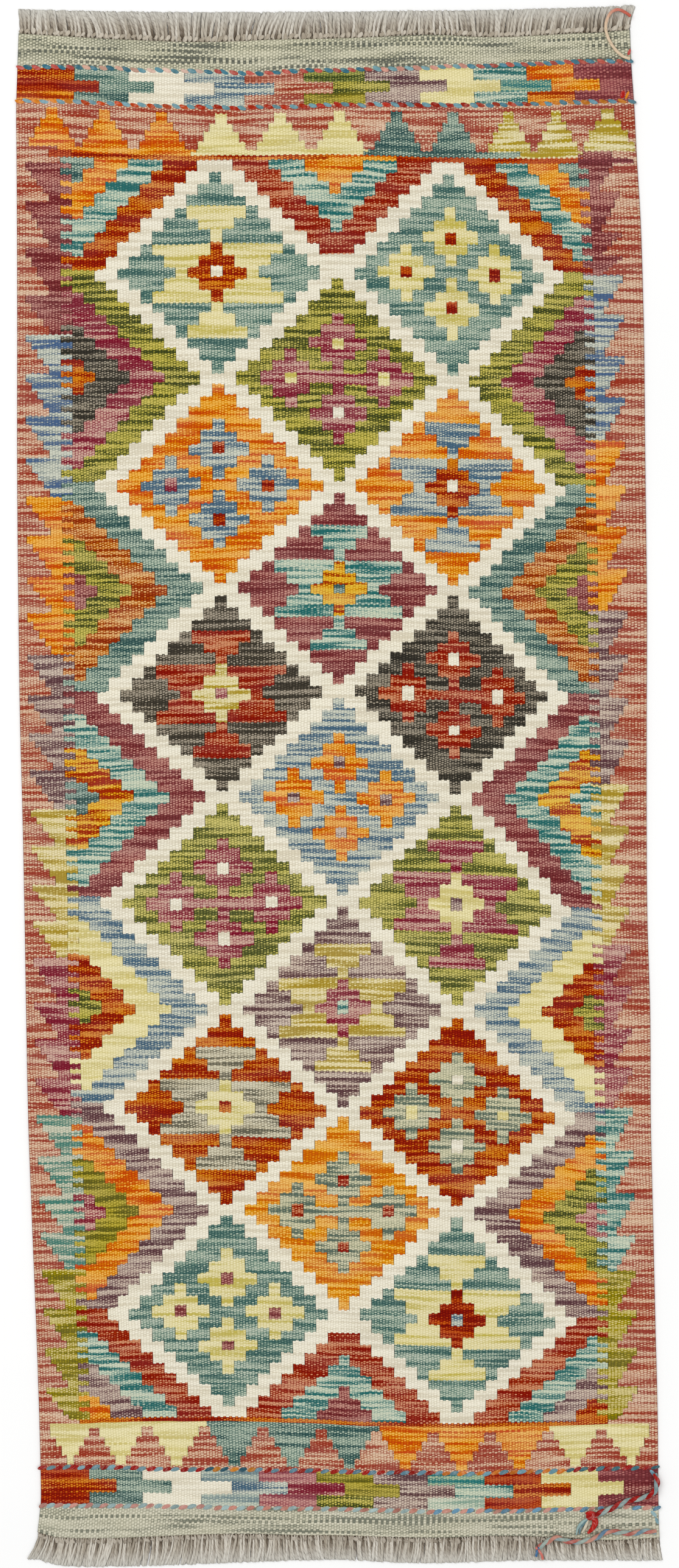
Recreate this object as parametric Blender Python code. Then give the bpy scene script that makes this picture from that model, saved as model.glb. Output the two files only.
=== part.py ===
"""Slit-woven kilim runner, lying flat: the woven cloth, the two warp-end fringes
and the loose yarn tails that lie on it.

The cloth is drawn in drawing units: x runs across the width to the right, y runs
down the length from the upper end. The origin is under the middle of the runner,
+X across the width, +Y towards the upper end, +Z up.
"""

import math

import bpy
import numpy as np

# ---------------------------------------------------------------- sizes, metres
UNIT = 0.0007835  # one drawing unit: the cloth is 1022 units, 0.80 m, wide
MID_X = 556.2  # drawing point over the origin
MID_Y = 1291.3
CLOTH_THICKNESS = 0.0035
FRINGE_THICKNESS = 0.0030
GAP = 0.0003  # clear gap between pieces that touch
KNOT_ROW = 0.0042  # depth of the row of warp-end knots
STRANDS = 109  # fringe strands, two warps each
STRAND_SHARE = 0.62  # strand width as a share of its pitch
EDGE_STEP = 40.0  # spacing of the points along the selvedges, drawing units
LOOP_DIAMETER = 0.0040
RED_TAIL_DIAMETER = 0.0066
PINK_TAIL_DIAMETER = 0.0060
RED_END_DIAMETER = 0.0040

# ------------------------------------------------- outline, in drawing units
# Selvedges: y down the length, x of the left edge, x of the right edge
SELVEDGES = [
    # y, left, right
    (48, 30.5, 1034.5),
    (107, 28.5, 1037.0),
    (171, 26.5, 1041.5),
    (260, 27.0, 1046.0),
    (350, 27.5, 1051.5),
    (500, 28.0, 1056.5),
    (780, 28.0, 1060.0),
    (1000, 30.0, 1062.5),
    (1200, 33.0, 1062.0),
    (1350, 37.0, 1062.0),
    (1500, 40.0, 1063.0),
    (1650, 42.5, 1067.5),
    (1850, 46.5, 1069.0),
    (2000, 52.0, 1072.5),
    (2200, 60.0, 1077.0),
    (2320, 64.0, 1080.0),
    (2420, 66.5, 1081.0),
    (2471, 66.5, 1081.5),
    (2500, 63.5, 1082.0),
    (2530, 60.0, 1083.5),
]

# Upper end: x across, y where the weave ends, y of the fringe tips, lean of a strand
UPPER_END = [
    # x, weave, tips, lean
    (30, 54, 14.5, -2),
    (60, 56, 15.5, -5),
    (110, 59, 17.0, -9),
    (180, 63, 18.5, -12),
    (250, 66, 19.0, -10),
    (310, 68, 19.5, -2),
    (380, 67, 19.5, 8),
    (440, 64, 19.5, 13),
    (500, 63, 19.0, 5),
    (545, 62, 18.5, -4),
    (600, 60, 18.0, 6),
    (660, 57, 17.5, 9),
    (715, 56, 17.0, 0),
    (760, 59, 16.5, -5),
    (820, 60, 15.5, 3),
    (890, 57, 14.0, 9),
    (950, 54, 12.5, 12),
    (1000, 52, 10.5, 11),
    (1035, 48, 8.0, 9),
]

# Lower end: the same columns
LOWER_END = [
    # x, weave, tips, lean
    (60, 2517, 2562.0, -18),
    (85, 2525, 2570.0, -15),
    (130, 2528, 2574.0, -12),
    (190, 2528, 2573.5, -10),
    (250, 2526, 2572.5, -8),
    (310, 2523, 2570.5, -9),
    (370, 2521, 2568.0, -5),
    (430, 2521, 2566.0, -3),
    (490, 2523, 2564.0, 4),
    (560, 2523, 2563.0, 0),
    (620, 2525, 2566.0, -4),
    (690, 2527, 2568.5, -6),
    (750, 2527, 2567.5, -3),
    (810, 2524, 2565.5, 2),
    (880, 2525, 2564.0, 4),
    (950, 2528, 2564.0, 5),
    (1010, 2531, 2564.0, 6),
    (1083, 2527, 2564.0, 5),
]

# --------------------------------------- loose yarn, in drawing units: x, y
LOOP_ROUTE = [
    (1034, 97.5),
    (1021, 92),
    (1008.5, 80),
    (999, 64),
    (994.5, 48),
    (996.5, 33),
    (1003.5, 21),
    (1014.5, 16.5),
    (1025.5, 20.5),
    (1035, 27),
]
RED_TAIL_ROUTE = [
    (1075, 2420),
    (1078.5, 2434),
    (1074, 2449),
    (1061, 2458),
    (1043, 2462),
    (1025, 2467),
    (1008, 2475),
    (991, 2482.5),
    (977, 2489),
    (976, 2501),
    (968, 2516),
]
RED_END_ROUTE = [
    (964, 2493.5),
    (955, 2500.5),
    (948, 2510),
    (946, 2521),
]
PINK_TAIL_ROUTE = [
    (1077, 2516),
    (1058, 2514.5),
    (1037, 2518.5),
    (1014, 2516),
    (996, 2515.5),
    (978, 2525.5),
    (958, 2531),
    (934, 2531.5),
    (913, 2525.5),
    (897, 2533),
    (884, 2542.5),
    (880, 2556),
]


# ------------------------------------------------------------------- helpers
def column(table, key, value, at):
    """A smooth curve through two columns of a table, read at some places."""
    xs = np.array([row[key] for row in table], float)
    ys = np.array([row[value] for row in table], float)
    slopes = np.gradient(ys, xs)
    at = np.clip(np.asarray(at, float), xs[0], xs[-1])
    i = np.clip(np.searchsorted(xs, at, side="right") - 1, 0, len(xs) - 2)
    width = xs[i + 1] - xs[i]
    t = (at - xs[i]) / width
    return (
        (2 * t**3 - 3 * t**2 + 1) * ys[i]
        + (t**3 - 2 * t**2 + t) * width * slopes[i]
        + (3 * t**2 - 2 * t**3) * ys[i + 1]
        + (t**3 - t**2) * width * slopes[i + 1]
    )


def place(x, y):
    """Drawing units to metres in the runner's frame."""
    return (x - MID_X) * UNIT, (MID_Y - y) * UNIT


def smooth_route(points, step):
    """Even points along a Catmull-Rom curve through the route's own points."""
    p = np.array([place(x, y) for x, y in points])
    p = np.vstack([2 * p[0] - p[1], p, 2 * p[-1] - p[-2]])
    fine = []
    for i in range(1, len(p) - 2):
        for t in np.linspace(0.0, 1.0, 24, endpoint=False):
            fine.append(
                0.5
                * (
                    2 * p[i]
                    + (p[i + 1] - p[i - 1]) * t
                    + (2 * p[i - 1] - 5 * p[i] + 4 * p[i + 1] - p[i + 2]) * t**2
                    + (3 * p[i] - p[i - 1] - 3 * p[i + 1] + p[i + 2]) * t**3
                )
            )
    fine.append(p[-2])
    fine = np.array(fine)
    run = np.concatenate([[0], np.cumsum(np.linalg.norm(np.diff(fine, axis=0), axis=1))])
    count = max(3, int(round(run[-1] / step)) + 1)
    at = np.linspace(0, run[-1], count)
    return np.column_stack([np.interp(at, run, fine[:, k]) for k in range(2)])


def make_material(name, colour, roughness):
    material = bpy.data.materials.new(name)
    material.use_nodes = True
    shader = material.node_tree.nodes["Principled BSDF"]
    shader.inputs["Base Color"].default_value = (*colour, 1.0)
    shader.inputs["Roughness"].default_value = roughness
    shader.inputs["Metallic"].default_value = 0.0
    material.diffuse_color = (*colour, 1.0)
    return material


def flat_outline(name, outline, bottom, thickness, material, collection):
    """A flat piece cut to an outline, standing on height bottom."""
    curve = bpy.data.curves.new(name, "CURVE")
    curve.dimensions = "2D"
    curve.fill_mode = "BOTH"
    curve.extrude = thickness / 2
    spline = curve.splines.new("POLY")
    spline.points.add(len(outline) - 1)
    for point, (x, y) in zip(spline.points, outline):
        point.co = (x, y, 0.0, 1.0)
    spline.use_cyclic_u = True
    curve.materials.append(material)
    piece = bpy.data.objects.new(name, curve)
    piece.location = (0.0, 0.0, bottom + thickness / 2)
    collection.objects.link(piece)
    return piece


def yarn(name, route, diameter, height, material, collection):
    """A round tail of yarn lying on the cloth."""
    path = smooth_route(route, 2.4 * diameter)
    curve = bpy.data.curves.new(name, "CURVE")
    curve.dimensions = "3D"
    curve.bevel_depth = diameter / 2
    curve.bevel_resolution = 2
    curve.use_fill_caps = True
    spline = curve.splines.new("POLY")
    spline.points.add(len(path) - 1)
    for point, (x, y) in zip(spline.points, path):
        point.co = (x, y, 0.0, 1.0)
    curve.materials.append(material)
    piece = bpy.data.objects.new(name, curve)
    piece.location = (0.0, 0.0, height)
    collection.objects.link(piece)
    return piece


# --------------------------------------------------------------- the outlines
def cloth_outline():
    """Round the weave, from the upper left corner clockwise."""
    across_top = np.arange(UPPER_END[0][0], UPPER_END[-1][0], EDGE_STEP / 2)
    across_top = np.append(across_top, UPPER_END[-1][0])
    across_low = np.arange(LOWER_END[0][0], LOWER_END[-1][0], EDGE_STEP / 2)
    across_low = np.append(across_low, LOWER_END[-1][0])
    top = [(x, y) for x, y in zip(across_top, column(UPPER_END, 0, 1, across_top))]
    low = [(x, y) for x, y in zip(across_low, column(LOWER_END, 0, 1, across_low))]
    down = np.arange(110.0, 2500.0, EDGE_STEP)
    right = [(x, y) for x, y in zip(column(SELVEDGES, 0, 2, down), down)]
    left = [(x, y) for x, y in zip(column(SELVEDGES, 0, 1, down), down)]
    ring = top + right + low[::-1] + left[::-1]
    return [place(x, y) for x, y in ring]


def comb_outline(end, side):
    """A row of knots against the weave, and a strand from each pair of warps.

    side is -1 at the upper end, where strands run to smaller y, and +1 below.
    """
    first, last = end[0][0], end[-1][0]
    gap = GAP / UNIT
    knots = KNOT_ROW / UNIT
    pitch = (last - first) / STRANDS
    roots = first + pitch * (np.arange(STRANDS) + 0.5)
    base = column(end, 0, 1, roots)
    tips = column(end, 0, 2, roots)
    lean = column(end, 0, 3, roots)
    half = pitch * STRAND_SHARE / 2
    inner, outer = [], []
    edge = np.arange(first, last, EDGE_STEP / 2)
    edge = np.append(edge, last)
    for x, y in zip(edge, column(end, 0, 1, edge)):
        inner.append((x, y + side * gap))
    outer.append((first, column(end, 0, 1, first) + side * (gap + knots)))
    for x, y, tip, slant in zip(roots, base, tips, lean):
        root = y + side * (gap + knots)
        outer.append((x - half, root))
        outer.append((x - half * 0.9 + slant, tip))
        outer.append((x + half * 0.9 + slant, tip))
        outer.append((x + half, root))
    outer.append((last, column(end, 0, 1, last) + side * (gap + knots)))
    ring = inner + outer[::-1]
    return [place(float(x), float(y)) for x, y in ring]


# -------------------------------------------------------------------- build
def main():
    for old in list(bpy.data.objects):
        bpy.data.objects.remove(old, do_unlink=True)
    scene = bpy.context.scene
    scene.unit_settings.system = "METRIC"
    scene.unit_settings.scale_length = 1.0
    collection = bpy.data.collections.new("kilim_runner")
    scene.collection.children.link(collection)

    wool = make_material("madder_wool", (0.42, 0.12, 0.07), 0.9)
    warp = make_material("grey_warp_wool", (0.42, 0.38, 0.33), 0.85)
    pale = make_material("pale_pink_yarn", (0.72, 0.48, 0.38), 0.8)
    red = make_material("red_blue_tail", (0.50, 0.06, 0.04), 0.8)
    light = make_material("pale_blue_tail", (0.50, 0.56, 0.55), 0.8)
    pink = make_material("pink_blue_tail", (0.58, 0.22, 0.20), 0.8)

    flat_outline("rug_cloth", cloth_outline(), 0.0, CLOTH_THICKNESS, wool, collection)
    flat_outline(
        "fringe_top",
        comb_outline(UPPER_END, -1),
        0.0,
        FRINGE_THICKNESS,
        warp,
        collection,
    )
    flat_outline(
        "fringe_bottom",
        comb_outline(LOWER_END, 1),
        0.0,
        FRINGE_THICKNESS,
        warp,
        collection,
    )

    for name, route, diameter, material in (
        ("loose_yarn_top", LOOP_ROUTE, LOOP_DIAMETER, pale),
        ("loose_tail_red", RED_TAIL_ROUTE, RED_TAIL_DIAMETER, red),
        ("loose_tail_red_end", RED_END_ROUTE, RED_END_DIAMETER, light),
        ("loose_tail_pink", PINK_TAIL_ROUTE, PINK_TAIL_DIAMETER, pink),
    ):
        height = CLOTH_THICKNESS + GAP + diameter / 2
        yarn(name, route, diameter, height, material, collection)


main()
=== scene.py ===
"""Looks of the slit-woven kilim runner: its weave, twined lines, fringes and loose yarns.

Everything on the cloth is laid out in two weaver's coordinates: warps, counted
from the left selvedge (0 to 218), and picks, the passes of the weft, counted down
the length with pick 0 through the middle of the upper pair of diamonds. Ten picks
make one row of the stepped pattern and four warps one cell. Drawing units place
both on the floor: x to the right, y down the length.
"""

import math

import bpy
import numpy as np
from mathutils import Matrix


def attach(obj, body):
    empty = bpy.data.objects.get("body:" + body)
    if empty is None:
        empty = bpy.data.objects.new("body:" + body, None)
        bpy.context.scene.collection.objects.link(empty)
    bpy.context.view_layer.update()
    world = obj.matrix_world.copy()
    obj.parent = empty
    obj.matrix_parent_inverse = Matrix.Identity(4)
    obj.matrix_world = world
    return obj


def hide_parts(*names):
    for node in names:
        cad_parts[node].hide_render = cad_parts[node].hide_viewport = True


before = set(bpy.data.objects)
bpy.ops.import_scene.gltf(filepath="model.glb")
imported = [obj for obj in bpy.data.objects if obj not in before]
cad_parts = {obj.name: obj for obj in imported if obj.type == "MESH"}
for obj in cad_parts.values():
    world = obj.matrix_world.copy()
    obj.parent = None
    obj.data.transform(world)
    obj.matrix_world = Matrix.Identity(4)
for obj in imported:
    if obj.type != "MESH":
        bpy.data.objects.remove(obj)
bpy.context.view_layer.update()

# ---------------------------------------------------------------- sizes, metres
UNIT = 0.0007835  # one drawing unit
MID_X = 556.2
MID_Y = 1291.3
CLOTH_THICKNESS = 0.0035
FRINGE_THICKNESS = 0.0030
GAP = 0.0003
KNOT_ROW = 0.0042
STRANDS = 109
EDGE_ROUND = 0.0016
WOOL_SHARE = 0.88  # of the light that falls on it, wool of a full white sends back
LOOP_DIAMETER = 0.0040
RED_TAIL_DIAMETER = 0.0066
PINK_TAIL_DIAMETER = 0.0060
RED_END_DIAMETER = 0.0040

WARPS = 218
STRIP = 15  # warps in each side strip
CELL = 4  # warps in one cell of the pattern
ROW = 10  # picks in one row of the pattern
FIRST_PICK = -200
LAST_PICK = 1096

# ------------------------------------------------- outline, in drawing units
SELVEDGES = [
    # y, left, right
    (48, 30.5, 1034.5),
    (107, 28.5, 1037.0),
    (171, 26.5, 1041.5),
    (260, 27.0, 1046.0),
    (350, 27.5, 1051.5),
    (500, 28.0, 1056.5),
    (780, 28.0, 1060.0),
    (1000, 30.0, 1062.5),
    (1200, 33.0, 1062.0),
    (1350, 37.0, 1062.0),
    (1500, 40.0, 1063.0),
    (1650, 42.5, 1067.5),
    (1850, 46.5, 1069.0),
    (2000, 52.0, 1072.5),
    (2200, 60.0, 1077.0),
    (2320, 64.0, 1080.0),
    (2420, 66.5, 1081.0),
    (2471, 66.5, 1081.5),
    (2500, 63.5, 1082.0),
    (2530, 60.0, 1083.5),
]
UPPER_END = [
    # x, weave, tips, lean
    (30, 54, 14.5, -2),
    (60, 56, 15.5, -5),
    (110, 59, 17.0, -9),
    (180, 63, 18.5, -12),
    (250, 66, 19.0, -10),
    (310, 68, 19.5, -2),
    (380, 67, 19.5, 8),
    (440, 64, 19.5, 13),
    (500, 63, 19.0, 5),
    (545, 62, 18.5, -4),
    (600, 60, 18.0, 6),
    (660, 57, 17.5, 9),
    (715, 56, 17.0, 0),
    (760, 59, 16.5, -5),
    (820, 60, 15.5, 3),
    (890, 57, 14.0, 9),
    (950, 54, 12.5, 12),
    (1000, 52, 10.5, 11),
    (1035, 48, 8.0, 9),
]
LOWER_END = [
    (60, 2517, 2562.0, -18),
    (85, 2525, 2570.0, -15),
    (130, 2528, 2574.0, -12),
    (190, 2528, 2573.5, -10),
    (250, 2526, 2572.5, -8),
    (310, 2523, 2570.5, -9),
    (370, 2521, 2568.0, -5),
    (430, 2521, 2566.0, -3),
    (490, 2523, 2564.0, 4),
    (560, 2523, 2563.0, 0),
    (620, 2525, 2566.0, -4),
    (690, 2527, 2568.5, -6),
    (750, 2527, 2567.5, -3),
    (810, 2524, 2565.5, 2),
    (880, 2525, 2564.0, 4),
    (950, 2528, 2564.0, 5),
    (1010, 2531, 2564.0, 6),
    (1083, 2527, 2564.0, 5),
]

# Where the warps run: x of ten of them at some rows of the pattern
WARP_GUIDES = (15, 35, 63, 75, 103, 115, 143, 155, 183, 203)
WARP_PLACES = [
    # row, x of each guide warp
    (0, 100, 193, 326, 385, 525, 582, 714, 768, 892, 974),
    (9, 100, 193, 328, 388, 528, 583, 717, 770, 894, 978),
    (18, 101, 192, 330, 389, 531, 584, 717, 770, 895, 979),
    (27, 104, 196, 333, 391, 530, 584, 718, 770, 897, 982),
    (36, 104, 198, 335, 392, 528, 583, 719, 772, 899, 984),
    (45, 107, 200, 337, 393, 532, 586, 721, 775, 902, 987),
    (54, 111, 201, 338, 396, 536, 589, 722, 777, 905, 989),
    (63, 112, 203, 340, 399, 536, 590, 723, 779, 908, 992),
    (72, 117, 205, 341, 400, 536, 591, 723, 779, 911, 994),
    (81, 121, 208, 342, 402, 537, 591, 722, 779, 911, 997),
    (90, 125, 211, 344, 403, 538, 591, 722, 778, 911, 998),
    (99, 130, 215, 347, 405, 539, 592, 722, 778, 911, 998),
]
# Where the picks run: y at five places across, and the warp of each place
PICK_GUIDES = (14, 70, 109, 149, 204)
PICK_PLACES = [
    # pick, y at each place
    (-172.5, 110, 118, 114, 110, 100),
    (-161.5, 132, 136, 133, 131, 130),
    (-151.5, 150, 156, 152, 150, 149),
    (-141.0, 167, 176, 172, 172, 167),
    (-95, 258, 263, 261, 266, 268),
    (-90, 268, 273, 271, 276, 277),
    (0, 452, 447, 449, 449, 461),
    (90, 621, 623, 622, 629, 628),
    (180, 804, 798, 801, 802, 809),
    (270, 970, 970, 967, 972, 975),
    (360, 1149, 1140, 1136, 1143, 1150),
    (450, 1312, 1309, 1312, 1313, 1315),
    (540, 1482, 1484, 1482, 1486, 1506),
    (630, 1655, 1660, 1655, 1661, 1663),
    (720, 1820, 1820, 1829, 1830, 1843),
    (810, 1995, 1987, 1992, 1993, 2004),
    (900, 2164, 2156, 2161, 2172, 2172),
    (990, 2322, 2320, 2327, 2327, 2325),
    (995, 2334, 2330, 2335, 2339, 2333),
    (1037.5, 2411, 2414, 2417, 2420, 2413),
    (1049, 2430, 2434, 2437, 2440, 2436),
    (1059, 2450, 2453, 2456, 2459, 2455),
    (1070.5, 2473, 2477, 2480, 2483, 2479),
]

# --------------------------------------------------------------------- dyes
# Hand-dyed yarn is streaked: its tone wanders between three shades.
# contrast: how far it wanders; lean: under 1 mostly light, over 1 mostly dark;
# run: warps that a shade lasts; fleck: change from bead to bead, and strength of the
# painted highlight on the bead crowns; gap: strength of the painted shade between
# beads, and depth of the beads' bump; depth: strength of the hue;
# lines: 1 where single dark picks are laid in.
DYES = [
    # name, dark, mid, light, contrast, lean, run, fleck, gap, depth, lines
    ("white", "D2C9B2", "E1DAC5", "ECE6D3", 1.10, 0.8, 60, 0.38, 0.12, 1.0, 0),
    ("cream", "BDAE4C", "D8CC90", "E4DAAE", 1.30, 0.45, 45, 0.30, 0.12, 0.95, 0),
    ("lemon", "C8BA74", "DBD09A", "E7DDAE", 1.10, 0.7, 45, 0.30, 0.12, 1.0, 0),
    ("pear", "A88F24", "CABB78", "DFD4A8", 1.92, 0.9, 40, 0.30, 0.14, 0.98, 0),
    ("mustard", "A58A2A", "C8B66A", "E0D2A4", 1.41, 1.0, 36, 0.35, 0.16, 0.96, 0),
    ("olive", "6B642A", "A29235", "D2C48C", 1.09, 1.0, 36, 0.35, 0.2, 1.08, 0),
    ("moss", "5E5A1E", "958831", "B9A94C", 1.30, 1.0, 36, 0.40, 0.2, 1.02, 0),
    ("green", "3E441F", "989240", "C6B862", 1.32, 0.95, 30, 0.55, 0.26, 1.02, 0),
    ("forest", "38431F", "6E7542", "A8A45E", 1.40, 1.0, 34, 0.50, 0.24, 1.06, 0),
    ("teal", "36504F", "7A8D82", "B2BCAC", 1.12, 1.0, 46, 0.55, 0.26, 1.2, 0),
    ("turquoise", "2E6765", "95AC9E", "C8CEB8", 1.50, 1.0, 34, 0.35, 0.2, 1.08, 0),
    ("lagoon", "356C6C", "6E9188", "AEBA9C", 1.19, 1.0, 40, 0.35, 0.2, 1.22, 0),
    ("foam", "7E9C8C", "B2BDA8", "D0D1BC", 1.04, 0.9, 40, 0.30, 0.16, 1.0, 0),
    ("cobalt", "3E5C84", "979F96", "C8CAB8", 1.41, 1.0, 34, 0.35, 0.2, 0.9, 0),
    ("icy", "456379", "A2AAA2", "CBCDBB", 1.35, 0.9, 36, 0.45, 0.22, 0.98, 0),
    ("mist", "6C7F84", "9AA59E", "BEC4B5", 1.20, 1.0, 40, 0.30, 0.16, 1.15, 0),
    ("orange", "C2440A", "D68828", "E9B35C", 1.26, 0.9, 42, 0.40, 0.18, 1.0, 0),
    ("flame", "9A2C08", "C25C18", "DF9C44", 1.50, 1.0, 40, 0.40, 0.2, 1.0, 0),
    ("ember", "84140A", "AA3A16", "D28A40", 1.32, 1.1, 44, 0.50, 0.24, 1.02, 0),
    ("crimson", "7C1208", "9A2410", "BC5A2A", 1.30, 1.0, 44, 0.40, 0.22, 1.0, 0),
    ("brick", "841C16", "A04330", "CE9473", 1.35, 1.1, 40, 0.45, 0.24, 1.04, 0),
    ("madder", "75110C", "982814", "C06034", 1.20, 1.1, 50, 0.40, 0.22, 1.02, 0),
    ("gold", "9A280E", "D4922A", "E0B748", 1.52, 0.9, 30, 0.40, 0.2, 1.0, 0),
    ("rose", "983C2E", "B87E65", "D8BB9F", 1.38, 1.0, 40, 0.45, 0.2, 1.0, 0),
    ("coral", "903C28", "B36C55", "D6AC92", 1.12, 1.0, 40, 0.40, 0.2, 0.97, 0),
    ("magenta", "7A2634", "9C5A5E", "CCAA9A", 1.28, 1.1, 36, 0.45, 0.22, 1.06, 0),
    ("heather", "84404A", "A56B6C", "C4958C", 0.96, 1.0, 40, 0.35, 0.2, 1.08, 0),
    ("plum", "682E30", "8B504F", "BE9084", 1.08, 1.0, 60, 0.45, 0.24, 1.08, 0),
    ("wine", "6E3336", "905052", "B0766F", 1.16, 1.0, 50, 0.40, 0.22, 1.05, 0),
    ("slate", "36504E", "72857D", "A2B0A4", 1.04, 1.0, 46, 0.50, 0.26, 1.12, 0),
    ("charcoal", "2E2B24", "524C41", "9A907E", 1.26, 1.1, 40, 0.55, 0.26, 1.0, 0),
    ("taupe", "38332A", "575043", "A39886", 1.32, 1.1, 40, 0.55, 0.26, 1.0, 0),
    ("dusk", "5A3E42", "9F8A83", "CABBAC", 1.23, 1.0, 40, 0.45, 0.24, 1.14, 0),
    ("pewter", "5A4042", "A08C83", "CEBFB0", 1.25, 1.0, 40, 0.47, 0.24, 1.12, 0),
    ("sage", "5E6A60", "ACAC95", "D0CCB4", 1.42, 0.9, 40, 0.40, 0.24, 1.3, 0),
    ("ash", "62645A", "ACAA94", "D2CEB8", 1.27, 0.8, 90, 0.45, 0.22, 1.1, 1),
    ("rust", "8C2A0C", "BE7036", "DDB27A", 1.30, 1.0, 44, 0.50, 0.24, 1.02, 0),
    ("marigold", "C45A0C", "DA942E", "E9B862", 1.20, 0.9, 42, 0.38, 0.17, 1.0, 0),
    ("fern", "4C5228", "9E9850", "CABF72", 1.28, 0.95, 30, 0.55, 0.26, 1.02, 0),
    ("harbour", "42605C", "829789", "B8C0B0", 1.15, 1.0, 46, 0.55, 0.26, 1.16, 0),
    ("sand", "646152", "BAB198", "D2CCB4", 1.30, 0.9, 40, 0.45, 0.24, 1.05, 0),
    ("shoal", "4C7C70", "A2AC98", "CCC9B4", 1.30, 1.0, 36, 0.35, 0.20, 1.08, 0),
    ("dove", "76786A", "B6B39E", "D2CEBA", 1.19, 0.8, 90, 0.38, 0.18, 1.05, 1),
]
DYE = {row[0]: i for i, row in enumerate(DYES)}

# ----------------------------------------------------------------- the design
DIAMONDS = [
    # cell, row, ground, motif, figure, heart, eyes: left, right, top, bottom
    (0, 0, "harbour", "stepped", "cream", "ember", ("white",)),
    (20, 0, "harbour", "flowers", "cream", "", ("madder",) * 4),
    (10, 9, "green", "cross", "magenta", "", ("cream", "cream", "cream", "white")),
    (0, 18, "orange", "flowers", "icy", "", ("magenta", "madder", "brick", "madder")),
    (20, 18, "orange", "stepped", "icy", "ember", ("white",)),
    (10, 27, "plum", "stepped", "turquoise", "gold", ("slate",)),
    (0, 36, "taupe", "stepped", "brick", "pear", ("magenta",)),
    (20, 36, "charcoal", "cross", "brick", "", ("white",) * 4),
    (10, 45, "icy", "flowers", "orange", "", ("dusk",) * 4),
    (0, 54, "fern", "cross", "magenta", "", ("white",) * 4),
    (20, 54, "fern", "stepped", "magenta", "lemon", ("dusk",)),
    (10, 63, "pewter", "stepped", "mustard", "magenta", ("turquoise",)),
    (0, 72, "ember", "stepped", "sand", "cream", ("ember",)),
    (20, 72, "ember", "flowers", "sage", "", ("lemon", "lemon", "white", "white")),
    (10, 81, "marigold", "cross", "sage", "", ("brick",) * 4),
    (0, 90, "harbour", "flowers", "cream", "", ("plum",) * 4),
    (20, 90, "harbour", "stepped", "cream", "madder", ("icy",)),
]
CHEVRONS = [
    # row of the middle, colours from the strip inwards: left side, right side
    (-9, ("teal", "orange", "turquoise", "ember"), ("teal", "orange", "turquoise", "ember")),
    (9, ("ember", "charcoal", "magenta", "green"), ("ember", "charcoal", "magenta", "green")),
    (27, ("plum", "green", "rust", "teal"), ("plum", "green", "rust", "teal")),
    (45, ("slate", "gold", "turquoise", "plum"), ("turquoise", "gold", "turquoise", "plum")),
    (63, ("green", "ember", "lemon", "icy"), ("green", "ember", "lemon", "icy")),
    (81, ("magenta", "moss", "orange", "dusk"), ("magenta", "green", "orange", "dusk")),
    (99, ("orange", "dusk", "turquoise", "brick"), ("ember", "dusk", "turquoise", "brick")),
]
TOP_MIDDLE = ("orange", "turquoise", "brick")  # half diamond at the upper end
LOW_MIDDLE = ("plum", "turquoise", "brick")  # and at the lower end

# Side strips: four teeth of each colour; y where each tooth starts
TEETH_LEFT = [
    ("plum", 267, 331, 407, 485),
    ("cobalt", 550, 614, 684, 752),
    ("orange", 816, 880, 948, 1007),
    ("dusk", 1076, 1143, 1205, 1265),
    ("mustard", 1330, 1390, 1453, 1513),
    ("magenta", 1573, 1647, 1706, 1772),
    ("shoal", 1833, 1900, 1965, 2025),
    ("olive", 2085, 2150, 2215, 2280),
]
TEETH_RIGHT = [
    ("plum", 254, 314, 382, 420),
    ("cobalt", 452, 517, 585, 652),
    ("orange", 724, 797, 866, 934),
    ("dusk", 1003, 1075, 1147, 1215),
    ("mustard", 1288, 1357, 1422, 1490),
    ("magenta", 1552, 1620, 1690, 1755),
    ("turquoise", 1820, 1890, 1960, 2030),
    ("olive", 2088, 2153, 2215, 2278),
]
TEETH_END = 2337
STEPS_LEFT = (3, 5, 7, 9, 11)  # warps from the selvedge, top step first
STEPS_RIGHT = (6, 7.6, 9, 10.5, 12)

# End bands of blocks, three rows of each: where each colour ends, in warps
TOP_BLOCKS = [
    # colours of the upper, middle and lower row, end of the outer rows, of the middle row
    ("ember", "crimson", "flame", 20.0, 29.0),
    ("harbour", "harbour", "teal", 39.5, 48.3),
    ("white", "white", "white", 59.0, 69.3),
    ("icy", "icy", "icy", 79.5, 89.4),
    ("coral", "rose", "rose", 99.3, 109.4),
    ("forest", "green", "moss", 120.6, 129.5),
    ("dusk", "dusk", "dusk", 140.0, 150.0),
    ("lemon", "lemon", "lemon", 160.0, 170.0),
    ("turquoise", "lagoon", "turquoise", 180.0, 189.6),
    ("orange", "orange", "flame", 199.0, 207.8),
    ("wine", "wine", "wine", 218.0, 218.0),
]
LOW_BLOCKS = [
    ("crimson", "ember", "crimson", 18.3, 28.7),
    ("teal", "teal", "slate", 38.5, 48.6),
    ("white", "white", "white", 59.0, 69.5),
    ("mist", "icy", "mist", 78.8, 88.6),
    ("heather", "magenta", "heather", 98.6, 108.7),
    ("moss", "moss", "green", 119.2, 128.5),
    ("dusk", "pewter", "pewter", 138.4, 148.0),
    ("lagoon", "turquoise", "foam", 158.4, 168.3),
    ("crimson", "ember", "crimson", 178.0, 188.8),
    ("lemon", "lemon", "lemon", 199.1, 207.6),
    ("wine", "plum", "wine", 218.0, 218.0),
]
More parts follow.
